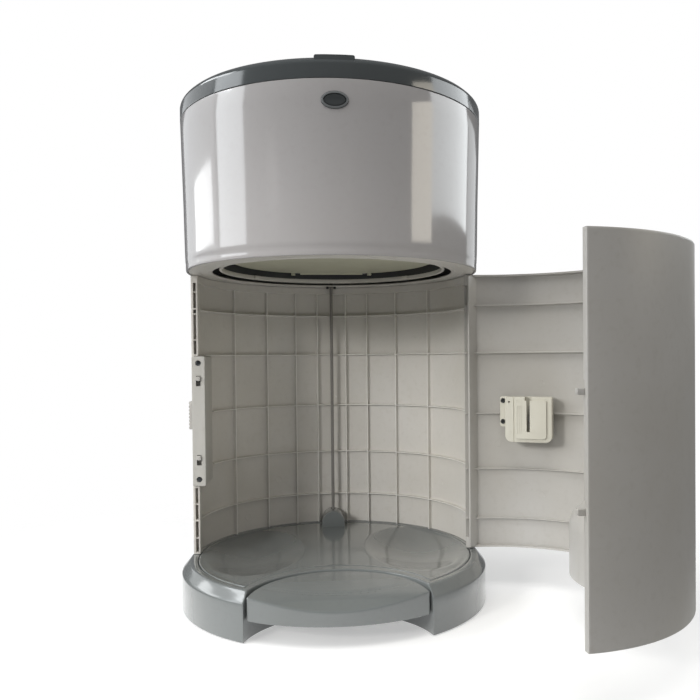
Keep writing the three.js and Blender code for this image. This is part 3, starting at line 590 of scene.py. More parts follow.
# ---------------------------------------------------------------- plan loops of the base
def two_arcs(outer, inner, inner_y, behind=True, corner=1.0, long=132, short=56):
    """Where a circle about the axis meets a toe circle: the plan behind it, or the lens in front."""
    y = (outer ** 2 - inner ** 2 + inner_y ** 2) / (2 * inner_y)
    x = math.sqrt(max(outer ** 2 - y ** 2, 1e-6))
    a0, a1 = math.atan2(y, x), math.pi - math.atan2(y, x)
    b0, b1 = math.atan2(y - inner_y, x), math.atan2(y - inner_y, -x)
    trim_a, trim_b = corner / outer, corner / inner
    if behind:
        first = np.linspace(a0 + trim_a, a1 - trim_a, long)
        second = np.linspace(b1 - trim_b, b0 + trim_b, short)
    else:
        first = np.linspace(a1 + trim_a, a0 + 2 * math.pi - trim_a, short)
        second = np.linspace(b0 + trim_b, b1 - trim_b, short)
    arcs = [np.stack([outer * np.cos(first), outer * np.sin(first)], 1),
            np.stack([inner * np.cos(second), inner_y + inner * np.sin(second)], 1)]
    points = []
    for i, arc in enumerate(arcs):
        points += [tuple(p) for p in arc]
        start, end = arc[-1], arcs[1 - i][0]
        tip = np.array([math.copysign(x, start[0]), y])
        for t in (0.25, 0.5, 0.75):
            points.append(tuple((1 - t) ** 2 * start + 2 * t * (1 - t) * tip + t * t * end))
    return np.array(points)


def ease(distance, radius):
    """How far a rounded edge has dropped at this distance from it."""
    d = np.clip(np.asarray(distance, float), 0, radius)
    return radius - np.sqrt(np.maximum(radius ** 2 - (radius - d) ** 2, 0))


def lifted(plan, height):
    z = height(plan[:, 0], plan[:, 1]) if callable(height) else np.full(len(plan), float(height))
    return np.column_stack([plan, z])


def base_top(x, y):
    r = np.hypot(x, y)
    z = np.interp(r, [154, 160, 160.9, 162, 163, 170.7, 171.1, 171.3],
                  [48.5, 48.5, 48.42, 48.05, 47.3, 38.65, 37.9, 37.0])
    z = z - ease(np.hypot(x, y - TOE_Y) - NOTCH_R, 1.3)
    inner = np.maximum(r - 154.3, FRONT_R - np.hypot(x, y - FRONT_Y))
    return z - ease(inner, 1.3)


def base_shell():
    def plan(outer, t):
        return two_arcs(outer, NOTCH_R + (FRONT_R - NOTCH_R) * t, TOE_Y + (FRONT_Y - TOE_Y) * t)

    stations = [(171.3, 0), (171.1, 0.012), (170.7, 0.035), (169, 0.07), (166, 0.1), (163.4, 0.2),
                (162.6, 0.3), (162, 0.4), (161.3, 0.5), (160.5, 0.6), (159, 0.72), (157, 0.84), (155.3, 0.93),
                (154.8, 0.96), (154.45, 0.985), (154.3, 1)]
    loops = [lifted(plan(170.9, 0.02), 1.0), lifted(plan(171.3, 0), 1.4)]
    loops += [lifted(plan(171.3, 0), z) for z in (12, 24)]
    loops += [lifted(plan(a, t), base_top) for a, t in stations]
    loops.append(lifted(plan(154.3, 1), 46.1))
    loops.append(lifted(plan(161, 0.5), 46.1))
    wall = two_arcs(168.9, NOTCH_R + SKIN, TOE_Y)
    loops += [lifted(wall, 36.5), lifted(wall, 1.0)]
    shape = loft(loops, closed=True)
    return cut(shape, block((-13, -92, -1), (13, -58, 36)))


def dish(x, y, side):
    e = ((x - side * 92) / 57) ** 2 + ((y - 14) / 100) ** 2
    return 14 * np.maximum(0, 1 - e) ** 1.2


def floor_top(x, y):
    z = BASE_H - dish(x, y, -1) - dish(x, y, 1)
    edge = np.minimum(153.7 - np.hypot(x, y), np.hypot(x, y - FRONT_Y) - 98.3)
    # a low lip runs just inside the groove
    return z - ease(edge, 1.2) - 0.8 * np.clip((edge - 2.6) / 1.6, 0, 1)


def plate(rims, inside, top, thickness, step=3.2):
    """A sheet over nested plan loops and a grid within them, with its underside below."""
    points = [tuple(p) for rim in rims for p in rim]
    count = len(rims[0])
    edges = [(i * count + k, i * count + (k + 1) % count) for i in range(len(rims)) for k in range(count)]
    reach = int(160 / step)
    for i in range(-reach, reach + 1):
        for j in range(-reach - 10, reach + 10):
            x, y = (i + 0.5 * (j % 2)) * step, j * step * 0.87
            if inside(x, y):
                points.append((x, y))
    plan, _, faces, *_ = geometry.delaunay_2d_cdt([Vector(p) for p in points], edges, [], 1, 1e-4)
    flat = np.array([tuple(p) for p in plan])
    high = np.column_stack([flat, top(flat[:, 0], flat[:, 1])])
    low = high - np.array([0, 0, thickness])
    total = len(flat)
    sides = {(a, b) for face in faces for a, b in zip(face, list(face[1:]) + [face[0]])}
    solid = [tuple(f) for f in faces] + [tuple(i + total for i in reversed(f)) for f in faces]
    solid += [(b, a, a + total, b + total) for a, b in sides if (b, a) not in sides]
    return oriented(np.concatenate([high, low]), solid)


def floor_pan():
    rims = [two_arcs(153.7 - s, 98.3 + s, FRONT_Y, long=220, short=90)
            for s in (0, 0.1, 0.4, 1.2, 2.5, 3.3, 4.3)]

    def inside(x, y):
        return math.hypot(x, y) < 147.5 and math.hypot(x, y - FRONT_Y) > 104.5

    shape = merge(plate(rims, inside, floor_top, SKIN), arch(15, 68, 125, 157.2, 46.6, 1.6))
    return cut(shape, arch(12.6, 65.6, 127.4, 160, 35, 0.2), block((-3, 141, 60), (3, 153, 70)))


def arch(half, top, front, back, bottom, edge):
    outline = [(-half, bottom), (half, bottom)]
    outline += [(half * math.cos(a), top - half + half * math.sin(a)) for a in np.linspace(0, math.pi, 29)]
    return facing_y(outline, front, back, edge)


TREAD = ((0, 0.18, 0.36, 0.48, 0.58, 0.66, 0.72, 0.77, 0.82, 0.88, 0.94, 1),
         (0, 0.015, 0.05, 0.095, 0.155, 0.225, 0.295, 0.365, 0.45, 0.585, 0.76, 0.97))


def tread(x, y):
    rear = TOE_Y + 92.2
    z = 47.5 - 13 * np.interp((rear - y) / (rear + 168), *TREAD)
    r = np.hypot(x, y)
    for ring in (139.5, 143.5):
        z = z - 0.5 * np.exp(-((r - ring) / 0.6) ** 2)
    return z - ease(168 - r, 1.2) - ease(92.2 - np.hypot(x, y - TOE_Y), 1.4)


def pedal():
    def plan(s):
        return two_arcs(168 - s, 92.2 - s, TOE_Y, behind=False, corner=1.6 if s < 8 else 0.4, short=110)

    def inside(x, y):
        return math.hypot(x, y) < 164.8 and math.hypot(x, y - TOE_Y) < 89

    cap = plate([plan(s) for s in (0, 0.06, 0.25, 0.6, 1.2, 2.0)], inside, tread, SKIN, 1.6)
    outer = lifted(plan(0), lambda x, y: tread(x, y) - 0.4)
    inner = lifted(plan(SKIN), lambda x, y: tread(x, y) - 0.6)
    wall = loft([lifted(plan(0), 28), lifted(plan(0), 21.4), lifted(plan(0.4), 21), lifted(plan(2.0), 21),
                 lifted(plan(SKIN), 21.4), inner, outer], closed=True)
    return merge(cap, wall)


# ---------------------------------------------------------------- ribbed walls
RIB_SHAPE = ((0, 0.35, 0.55, 0.8, 1.15, 1.9), (5, 4.97, 4.75, 0.75, 0.25, 0))


def samples(low, high, step, marks, offsets):
    values = {low, high}
    values.update(np.linspace(low, high, int((high - low) / step) + 2))
    for mark in marks:
        values = {v for v in values if abs(v - mark) > offsets[-1]} | {low, high}
        for offset in offsets:
            values.update(v for v in (mark - offset, mark + offset) if low < v < high)
    return np.array(sorted(values))


def ribbed(angles, heights, inner, outer):
    """A curved wall between inner(a, z) and outer(a, z), closed on all sides."""
    a, z = np.meshgrid(np.radians(angles), heights, indexing="ij")
    shells = []
    for radius in (outer(np.degrees(a), z), inner(np.degrees(a), z)):
        shells.append(np.stack([radius * np.sin(a), radius * np.cos(a), z], 2))
    rows = []
    count, tall = a.shape
    points = np.concatenate([shell.reshape(-1, 3) for shell in shells])
    for i in range(count):
        out = [i * tall + k for k in range(tall)]
        back = [count * tall + i * tall + k for k in reversed(range(tall))]
        rows.append(out + back)
    faces = woven(rows, True, False) + [tuple(reversed(rows[0])), tuple(rows[-1])]
    return oriented(points, faces)


def rib(distance):
    return np.interp(np.abs(distance), *RIB_SHAPE)


def level_ribs(z, heights):
    return np.max([rib(z - height) for height in heights], axis=0)


def with_more(values, *more):
    return np.array(sorted({*values, *more}))


WALL_RIBS = (87, 144.5, 207.5, 275.5, 328)
UPRIGHTS = (7.1, 18, 33.2, 52.5)
WALL_LOW, WALL_HIGH = BASE_H + 0.3, CAB_TOP
POST_BARS = (66.9, 87.3, 105.5, 292.7, 322.2, 347.2)
LATCH_LOW, LATCH_HIGH, LATCH_BACK = 126.6, 274.0, 55.0
PER_DEGREE = math.pi / 180 * CAB_IN


def ejector_mark(angle, z, radius, proud=0.22):
    """A moulding mark: a shallow round step on the inside of a wall."""
    p, f = lathe([(0, -0.4), (radius, -0.4), (radius, proud, 0.1), (radius - 0.7, proud, 0.05),
                  (radius - 0.9, proud * 0.4, 0.05), (0, proud * 0.4)], 28, 2)
    a = math.radians(angle)
    out = np.array([math.sin(a), math.cos(a), 0])
    side = np.array([math.cos(a), -math.sin(a), 0])
    q = np.outer(p[:, 0], side) + np.outer(p[:, 1], (0, 0, 1)) - np.outer(p[:, 2], out)
    return oriented(q + out * CAB_IN + np.array([0, 0, z]), f)


def cabinet_wall():
    left = -math.degrees(math.acos(2.6 / CAB_R))
    right = math.degrees(math.acos(6 / CAB_R))
    angles = samples(left, right, 2.2, [s * a for a in UPRIGHTS for s in (-1, 1)],
                     [v / PER_DEGREE for v in RIB_SHAPE[0]])
    angles = with_more(angles, left + 0.06, left + 0.2, left + 0.5, right - 0.06, right - 0.2, right - 0.5,
                       -69.4, -69.6)
    heights = samples(WALL_LOW, WALL_HIGH, 14, WALL_RIBS, RIB_SHAPE[0])
    heights = with_more(heights, WALL_LOW + 0.15, WALL_LOW + 0.6, WALL_HIGH - 0.15, WALL_HIGH - 0.6,
                        357.3, 357.9, 126.3, 126.0, 274.3, 274.6)

    def ends(a, z):
        side = np.minimum(a - left, right - a) * PER_DEGREE
        return ease(side, 0.8) * 0.9 + ease(np.minimum(z - WALL_LOW, WALL_HIGH - z), 0.6) * 0.8

    def outer(a, z):
        return CAB_R - ends(a, z)

    def inner(a, z):
        depth = level_ribs(z, WALL_RIBS)
        for mark in UPRIGHTS:
            for sign in (-1, 1):
                depth = np.maximum(depth, rib((a - sign * mark) * PER_DEGREE))
        depth = np.maximum(depth, np.interp(z, [357.3, 357.9], [0, 5]))
        room = (a < -69.5) & (z > 126.1) & (z < 274.5)
        return CAB_IN - np.where(room, 0, depth)

    wall = ribbed(angles, heights, inner, outer)
    post = []
    for low, high in ((WALL_LOW, LATCH_LOW - 0.5), (LATCH_HIGH + 0.5, WALL_HIGH)):
        post.append(sector(left, 12, RIB_IN, RIB_IN + 1.8, low, high))
        post.append(sector(left + 10.2 / PER_DEGREE, 1.8, RIB_IN, CAB_IN + 0.6, low, high))
        post.append(sector(left, 12, RIB_IN, CAB_IN + 0.6, low, low + 2))
        post.append(sector(left, 12, RIB_IN, CAB_IN + 0.6, high - 2, high))
    for z in POST_BARS:
        post.append(sector(left + 0.2, 11, RIB_IN + 0.6, CAB_IN + 0.6, z - 0.7, z + 0.7))
    wall = merge(wall, *post)
    wall = cut(wall, box((-200, 4.1, 177.8), (-150, 24.1, 224.6), 0.5, 1.5, "x"))
    marks = ((0.6, 221.5, 6.5), (-27, 110, 4.6), (27, 66, 4.6), (44, 300, 4.6), (-44, 240, 4.6), (62, 110, 5),
             (-44, 66, 4.6), (44, 176, 4.6), (70, 240, 4.6))
    return joined(wall, *[ejector_mark(*mark) for mark in marks])


def sector(start, width, inner, outer, low, high):
    """A small eased block that follows the curve of the wall."""
    end = start + width / PER_DEGREE
    outline = []
    for r, a in ((inner, start), (inner, end), (outer, end), (outer, start)):
        t = math.radians(a)
        outline.append((r * math.sin(t), r * math.cos(t), 0.25))
    return prism(rounded(outline, 2), low, high, 0.2)


DOOR_LOW, DOOR_HIGH = BASE_H + 0.9, SHELL_BOTTOM - 0.6
DOOR_RIBS = (83, 140.5, 205, 275, 330.2)
DOOR_R = CAB_R - 0.7  # stays inside the flat faces of the CAD door


def toe_body(grow, bottom):
    r, top = 96 + grow, 138 + grow
    outline = [(0, bottom), (r, bottom)]
    outline += [(r * math.cos(a), 98 + (top - 98) * math.sin(a))
                for a in np.linspace(0, math.pi / 2, 15)[:-1]]
    outline.append((0, top))
    return moved(lathe(outline, 128), (0, -165, 0))


def door_shell():
    edge = math.degrees(math.asin(0.5 / CAB_R))
    left, right = 90 + edge, 270 - edge
    angles = samples(left, right, 2.0, [], [0])
    ends_a = [0.07, 0.25, 0.6, 0.7, 0.9]
    angles = with_more(angles, *[left + v for v in ends_a[:3]], *[right - v for v in ends_a],
                       right - 4.5, right - 4.7)
    heights = samples(DOOR_LOW, DOOR_HIGH, 12, DOOR_RIBS, RIB_SHAPE[0])
    ends_z = (0.15, 0.6, 1.9, 2.3)
    heights = with_more(heights, *[DOOR_LOW + v for v in ends_z], *[DOOR_HIGH - v for v in ends_z],
                        130, 130.3, 270, 269.7)

    def outer(a, z):
        side = np.minimum(a - left, right - a) * PER_DEGREE
        return DOOR_R - ease(side, 0.9) * 0.9 - ease(np.minimum(z - DOOR_LOW, DOOR_HIGH - z), 0.7) * 0.8

    def inner(a, z):
        depth = level_ribs(z, DOOR_RIBS)
        free = (right - a) * PER_DEGREE
        depth = np.where((free < 12.6) & (z > 130) & (z < 270), 0, depth)
        near = np.minimum(z - DOOR_LOW, DOOR_HIGH - z)
        depth = np.maximum(depth, np.interp(near, [1.95, 2.25], [5, 0]))
        depth = np.maximum(depth, np.interp(free, [1.95, 2.4], [5, 0]))
        return CAB_IN - depth

    shape = ribbed(angles, heights, inner, outer)
    shape = merge(shape, common(toe_body(SKIN, DOOR_LOW), core(DOOR_R, DOOR_LOW, DOOR_HIGH, 0.4, 180)))
    shape = cut(shape, toe_body(0, DOOR_LOW - 5))
    flange = rounded([(160, -16, 0.5), (160, -13.2, 0.3), (148.4, -1, 0.8), (146.6, -2.4, 0.8),
                      (158.4, -15.4, 0.3)], 3)
    shape = merge(shape, prism(flange, DOOR_LOW + 2, DOOR_HIGH - 2, 0.3))
    for low, high in ((DOOR_LOW, DOOR_LOW + 12), (DOOR_HIGH - 12, DOOR_HIGH)):
        shape = merge(shape, rod("z", 4.7, low, high, HINGE, 0.5))
    shape = cut(shape, rod("z", PIN_HOLE, DOOR_LOW - 1, DOOR_LOW + 10, HINGE, 0.1, 24),
                rod("z", PIN_HOLE, DOOR_HIGH - 10, DOOR_HIGH + 1, HINGE, 0.1, 24))
    notches = [block((SLOT_X - 3, -4.5, z - 6.2), (SLOT_X + 3, 0.5, z + 6.2)) for z in HOOKS]
    shape = cut(shape, *notches)
    marks = ((104, 170), (104, 302), (122, 110), (122, 240), (140, 300), (156, 240), (214, 170), (230, 300),
             (244, 110), (198, 300))
    return joined(shape, *[ejector_mark(angle, z, 4.4) for angle, z in marks])


# ---------------------------------------------------------------- build: base and pedal
piece("base_rim", base_shell(), "housing", "base_grey", ["base_shell"], 28)
piece("floor_panel", floor_pan(), "housing", "base_grey", ["floor_pan"], 30)
piece("pedal_tread", pedal(), "pedal", "base_grey", ["pedal"], 28)


def bottom_plate():
    loops = [lifted(two_arcs(168.6 - s, 96.9 + s, TOE_Y), z)
             for s, z in ((0.5, 1.4), (0, 1.7), (0, 3.5), (0.5, 3.8))]
    shape = loft(loops)
    for side in (-1, 1):
        post = rounded([(-18, 1.6), (-2, 1.6), (-2, 32, 5), (-18, 32, 5)], 4)
        post = [(y, z + 2) for y, z in post]
        shape = merge(shape, prism(post, side * 40 - 3, side * 40 + 3, 0.3, "x"))
    for angle in range(0, 360, 30):
        a = math.radians(angle + 15)
        ribs = moved(box((24, -1, 3.4), (150, 1, 6.4), 0.3, axis="x"), turn=a)
        if math.sin(a) > -0.35:
            shape = merge(shape, ribs)
    holes = [rod("z", 7.4, 0, 10, p, 0.2) for p in FEET]
    return cut(shape, rod("x", 3.3, -60, 60, LEVER_AXLE, 0.2), *holes)


FEET = ((-128, -60), (128, -60), (-80, 118), (80, 118), (0, 0))
piece("underside_plate", bottom_plate(), "housing", "dark_plastic", ["bottom_plate"])
for (x, y), node in zip(FEET, ("foot_pad_1", "foot_pad_2", "foot_pad_3", "foot_pad_4", "centre_pad")):
    pad = lathe([(0, 0), (6.2, 0, 0.3), (6.6, 0.35, 0.2), (8.9, 0, 0.35), (9, 1.0, 0.3), (7, 1.1, 0.1),
                 (7, 3.8, 0.3), (0, 3.8)], 48)
    piece("rubber_" + node, moved(pad, (x, y, 0)), "housing", "rubber", [node])


def pedal_lever():
    arm = box((-10, -140, 19), (10, 151, 29), 0.8, 1.2, "y")
    pad = box((-10, 141, 24), (10, 151, 32), 0.8, 1.2, "y")
    hub = rod("x", 9, -30, 30, LEVER_AXLE, 0.8, 48)
    hollows = [box((-7.6, y, 17), (7.6, y + 26, 26.5), 0.6, 1.5) for y in (-130, -96, -62, 8, 42, 76, 110)]
    return cut(merge(arm, pad, hub), rod("x", 3.3, -40, 40, LEVER_AXLE, 0.2), *hollows)


piece("lever_arm", pedal_lever(), "pedal", "dark_plastic", ["pedal_lever"])
piece("axle", rod("x", 3, -44, 44, LEVER_AXLE, 0.6), "housing", "steel", ["pedal_axle"])
piece("rod_wire", rod("z", 2, 35.8, 535.4, LIFT_ROD, 0.9, 32), "rod", "steel", ["lift_rod"],
      finish="rod_steel")
piece("rod_shoe", rod("z", 5, 32.8, 42.8, LIFT_ROD, 1.2, 40), "rod", "dark_plastic", ["rod_foot"])

# ---------------------------------------------------------------- build: cabinet
# the ridges of the wall's ribs carry a painted highlight
paint_ridge_highlights(piece("wall_panel", cabinet_wall(), "housing", "cabinet_white", ["cabinet_wall"], 30))
for low, high, node in ((WALL_LOW, DOOR_LOW + 9, "door_pin_lower"),
                        (DOOR_HIGH - 9, SHELL_BOTTOM + 8, "door_pin_upper")):
    piece("hinge_" + node, rod("z", 2.5, low, high, HINGE, 0.5), "housing", "steel", [node])

# ---------------------------------------------------------------- build: latch
PLATE_LEFT, PLATE_RIGHT = -160.9, -146.4


def latch_plate():
    shape = box((PLATE_LEFT, 0.3, LATCH_LOW), (PLATE_RIGHT, 2.3, LATCH_HIGH), 0.35, 1.4, "y")
    tools = [box((SLOT_X - 2.65, -1, z - 6.1), (SLOT_X + 2.65, 5, z + 5.5), 0.1, 0.4, "y") for z in HOOKS]
    for z in LATCH_SCREWS:
        tools += [rod("y", 1.7, -1, 5, (SLOT_X, z), 0.1, 24), rod("y", 3.3, -1, 1.5, (SLOT_X, z), 0.2, 32)]
    return cut(shape, *tools)


def latch_housing():
    outer = common(box((-170, 2.6, LATCH_LOW), (PLATE_RIGHT, LATCH_BACK, LATCH_HIGH), 1.0, 1.6, "x"),
                   core(WALL_FACE, 100, 300, 0.2, 180))
    return cut(outer, block((-200, -1, LATCH_LOW + 2), (PLATE_RIGHT - 2, LATCH_BACK - 2, LATCH_HIGH - 2)))


def latch_slider():
    x0, x1 = SLOT_X - 3, SLOT_X + 4
    shape = box((x0, 7, 140.6), (x1, 12, 262), 0.5, 0.8)
    for z in HOOKS:
        nose = rounded([(-2.2, z, 0.5), (8, z, 0), (8, z + 2.6, 0), (-0.4, z + 2.6, 0.4),
                        (-0.4, z + 5.1, 0.6), (-2.2, z + 4.4, 1.0)], 3)
        shape = merge(shape, prism(nose, SLOT_X - 2.3, SLOT_X + 2.3, 0.35, "x"))
    grip = box((-165.5, 5.6, 190.8), (x0 + 1, 22.6, 222.6), 0.8, 1.6, "x")
    flutes = [rod("y", 1.25, -2, 40, (-165.9, 190.8 + k * 31.8 / 8), 0.2, 24) for k in range(1, 8)]
    return merge(shape, cut(grip, *flutes))


def screw(axis, place, face, inner, radius, length):
    """A pan-head screw: domed head, cross recess and shank, looking out along -axis."""
    sign = 1 if inner > face else -1
    depth = abs(inner - face)
    head = lathe([(0, 0), (radius * 0.55, 0.06, 0.3), (radius, depth * 0.62, 0.4), (radius, depth, 0.1),
                  (radius * 0.45, depth, 0.1), (radius * 0.45, depth + length, 0.3), (0, depth + length)], 36)
    slots = [block((-radius * 0.52, -0.28, -1), (radius * 0.52, 0.28, depth * 0.55)),
             block((-0.28, -radius * 0.52, -1), (0.28, radius * 0.52, depth * 0.55))]
    p, f = cut(head, *slots)
    p = p.copy()
    p[:, 2] = face + sign * p[:, 2]
    p[:, :2] = p[:, :2] @ SCREW_TURN
    if axis == "y":
        out = np.stack([p[:, 0] + place[0], p[:, 2], p[:, 1] + place[1]], 1)
    else:
        out = np.stack([p[:, 2], p[:, 0] + place[0], p[:, 1] + place[1]], 1)
    return oriented(out, f)


piece("latch_cover", latch_plate(), "housing", "cabinet_white", ["latch_plate"], 30, "latch_white")
piece("latch_box", latch_housing(), "housing", "cabinet_white", ["latch_housing"], 30, "latch_white")
piece("latch_bar", latch_slider(), "latch", "door_white", ["latch_slider"], 30)
latch_coil = piece("latch_coil", coil("z", 2.3, 0.35, 128.9, 140.3, (SLOT_X + 0.5, 9.5), 6), "latch", "steel",
                   ["latch_spring"])
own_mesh(latch_coil)
for z, node in zip(LATCH_SCREWS, ("latch_screw_lower", "latch_screw_upper")):
    piece("pan_" + node, screw("y", (SLOT_X, z), 0.3, 1.4, 2.9, 4.4), "housing", "steel", [node],
          finish="screw_steel")

# ---------------------------------------------------------------- build: door
door_piece("door_panel", door_shell(), "door_white", ["door_shell"], 30)


def door_catch():
    strip = box((-157.6, -5.6, 140), (-149.6, -3.1, 262), 0.4, 0.6)
    for z in HOOKS:
        tongue = rounded([(-4, z - 5.3, 0), (4.6, z - 5.3, 1.0), (5.3, z - 3.8, 0.6), (5.3, z - 0.3, 0.5),
                          (-4, z - 0.3, 0)], 3)
        strip = merge(strip, prism(tongue, SLOT_X - 2.3, SLOT_X + 2.3, 0.3, "x"))
    return common(strip, core(WALL_FACE, 100, 300, 0.2, 180))


door_piece("door_strike", door_catch(), "door_white", ["door_catch"], 30)

CUT_LOW, CUT_HIGH = 174.0, 225.0
CUT_BACK, CUT_FRONT = 149.3, 129.3
CUT_TURN = -math.radians(28)
EAR_Y = 30.6


def on_door(shape):
    return moved(shape, turn=CUT_TURN)


def cutter_housing():
    outline = rounded([(-26, CUT_LOW, 7), (26, CUT_LOW, 7), (26, CUT_HIGH, 1.5), (-26, CUT_HIGH, 1.5)], 6)
    body = prism(outline, CUT_FRONT, CUT_BACK, 1.2, "x")
    ear = rounded([(20, 190, 0.5), (34, 190, 2.4), (34, CUT_HIGH, 2.4), (20, CUT_HIGH, 0.5)], 5)
    body = merge(body, prism(ear, CUT_BACK - 4, CUT_BACK, 0.5, "x"))
    tools = [box((CUT_FRONT - 1, -4, CUT_LOW + 9), (CUT_FRONT + 12, 4, CUT_HIGH + 4), 0.3, 0.8, "x"),
             box((CUT_FRONT - 1, 15.4, CUT_LOW - 1), (CUT_FRONT + 1.0, 16.6, CUT_HIGH + 1), 0.2, 0.2, "x"),
             rod("x", 1.1, CUT_FRONT - 1, CUT_FRONT + 3, (21.5, 219.5), 0.1, 20)]
    for left, right in ((-23.8, -6.2), (6.2, 23.8)):
        low, high = (CUT_FRONT + 2.2, left, CUT_LOW + 2.2), (CUT_BACK + 3, right, CUT_HIGH - 2.2)
        tools.append(box(low, high, 0.2, 2, "x"))
    tools += [rod("x", 1.8, 140, 152, (EAR_Y, z), 0.1, 24) for z in CUTTER_SCREWS]
    return on_door(cut(body, *tools))


def cutter_cover():
    outline = rounded([(-20, 178, 4), (14, 178, 4), (14, 221, 1.2), (-20, 221, 1.2)], 5)
    tools = [box((120, -1.8, 186), (132, 1.8, 224), 0.1, 0.6, "x")]
    tools += [box((126.4, 7 + k, 184), (127.4, 7.7 + k, 215), 0.1, 0.2, "x") for k in (0, 2.2, 4.4)]
    return on_door(cut(prism(outline, 127, 129, 0.5, "x"), *tools))


def cutter_blade():
    outline = [(132.3, 188), (140.3, 188), (140.3, 215), (132.3, 203)]
    return on_door(facing_y(outline, -0.5, 0.5, 0.12))


door_piece("cutter_body", cutter_housing(), "cutter_cream", ["cutter_housing"], 30)
door_piece("cutter_face", cutter_cover(), "cutter_cream", ["cutter_cover"], 30)
door_piece("cutter_knife", cutter_blade(), "steel", ["cutter_blade"])
for z, node in zip(CUTTER_SCREWS, ("cutter_screw_lower", "cutter_screw_upper")):
    door_piece("pan_" + node, on_door(screw("x", (EAR_Y, z), 143.2, 145.2, 2.8, 3.4)), "steel", [node],
               finish="screw_steel")

# ---------------------------------------------------------------- build: drum
PROFILE = ((163, 0), (163.5, 9), (164, 20), (165, 72), (166.4, 124), (167.4, 161.5))
WALL = 2.2


def smooth_radius(z):
    return float(np.interp(z, [h for _, h in PROFILE], [r for r, _ in PROFILE]))


def upper_shell():
    rises = [0, 4, 8.6, 9.4, 14, 20, 34, 50, 72, 88, 106, 124, 143, 161.5]
    outside = [(smooth_radius(h) - (0.25 if 8.5 < h < 9 else 0), SHELL_BOTTOM + h) for h in rises]
    outside = [(*outside[0], 1.3), *outside[1:-1], (*outside[-1], 0.7)]
    inside = [(smooth_radius(h) - WALL, SHELL_BOTTOM + h, 0.4 if h in (0, 161.5) else 0)
              for h in reversed(rises)]
    shell = lathe(outside + inside, 200)
    return cut(shell, facing_y(oval(25.8, 16.6, BUTTON_Z), -180, -150, 0.1),
               block((-58, 140, SHELL_TOP - 4), (58, 200, SHELL_TOP + 1)))


def collar_plate():
    low = SHELL_BOTTOM + 0.3
    outline = [(135, low, 0.6), (139, low, 0.3), (139.6, low + 0.6, 0.2), (148, low + 0.6, 0.2),
               (148.6, low, 0.2), (160.5, low, 0.8), (160.5, low + 14, 0.4), (158.5, low + 14, 0.4),
               (158.5, low + 3, 0.5), (141, low + 3, 0.5), (139.5, low + 1.6, 0.5), (135, low + 1.4, 0.4)]
    tools = [block((-3.2, 143, 300), (3.2, 156, 400)), block((-6.5, 149, 300), (6.5, 153, 400)),
             rod("z", PIN_HOLE, 300, 400, HINGE, 0.1, 24)]
    for angle in (-62, -20, 20, 62, 118, 160, 200, 242):
        tools.append(on_ring(angle, 151.5, 12, 1.2, low - 1, low + 0.5))
    return cut(lathe(outline, 180), *tools)


def on_ring(angle, radius, length, width, low, high):
    shape = box((-length / 2, radius - width / 2, low), (length / 2, radius + width / 2, high), 0.15, 0.4)
    return moved(shape, turn=-math.radians(angle))


def refill_band():
    shape = lathe([(124.5, 369.5, 0.7), (127.5, 369.5, 0.7), (127.5, 374.5, 0.4), (124.5, 374.5, 0.4)], 180)
    for angle in (-131, -49, 49, 131):
        tab = box((-4.5, 121.2, 370.5), (4.5, 134.2, 374.3), 0.5, 0.6)
        shape = merge(shape, moved(tab, turn=-math.radians(angle)))
    return shape


def refill_walls():
    """The trough that holds the refill, with the skirt that closes the space round the band."""
    return lathe([(124.9, 374.8, 0.2), (126.1, 374.8, 0.2), (126.1, 392, 0.5), (141.4, 392, 0.5),
                  (141.4, 371, 0.3), (143, 371, 0.3), (143, 440, 0.5), (141.4, 440, 0.5), (141.4, 393.6, 1),
                  (126.1, 393.6, 0.5), (126.1, 440, 0.4), (124.9, 440, 0.4)], 180)


def flap_pin(side):
    return side * FLAP_PIN[0], FLAP_PIN[1]


def funnel():
    outline = [(118, 382.4, 0.5), (120.5, 382.4, 0.5), (120.5, 460, 2), (138.5, SHELL_TOP - 3.9, 0.6),
               (141, SHELL_TOP - 3.9, 0.4), (141, SHELL_TOP - 0.9, 0.8), (136.5, SHELL_TOP - 0.9, 1.6),
               (118, 460.6, 4), (118, 385.2, 0.3), (109, 385.2, 0.5), (109, 383.6, 0.4), (118, 383.6, 0.2)]
    shape = lathe(outline, 180)
    rooms = [block((-53.5, y, 382.6), (53.5, y + 15, 386.6)) for y in (100, -115)]
    shape = cut(shape, *[common(room, core(117.5, 300, 420)) for room in rooms])
    for sx in (-1, 1):
        for sy in (-1, 1):
            x0, x1 = sorted((sx * 46.5, sx * 51.5))
            y0, y1 = sorted((sy * 103.5, sy * 118))
            post = box((x0, y0, 378), (x1, y1, 387), 0.4, 1.2, "x")
            shape = merge(shape, common(post, core(120.4, 300, 420)))
    return cut(shape, *[rod("x", 1.8, -60, 60, flap_pin(sy), 0.1, 20) for sy in (-1, 1)])


def deck_ring():
    outline = [(141.5, 519, 0.5), (164.2, 519, 0.5), (164.2, 526.5, 0.5), (162.2, 526.5, 0.5),
               (162.2, 521, 1), (143.5, 521, 1), (143.5, 524, 0.5), (141.5, 524, 0.5)]
    return cut(lathe(outline, 180), rod("z", 2.6, 500, 540, LIFT_ROD, 0.1, 24),
               block((-21, 152.5, 500), (21, 200, 540)), block((-60, 150, 522.7), (60, 200, 540)),
               block((-18, -200, 500), (18, -150, 540)))


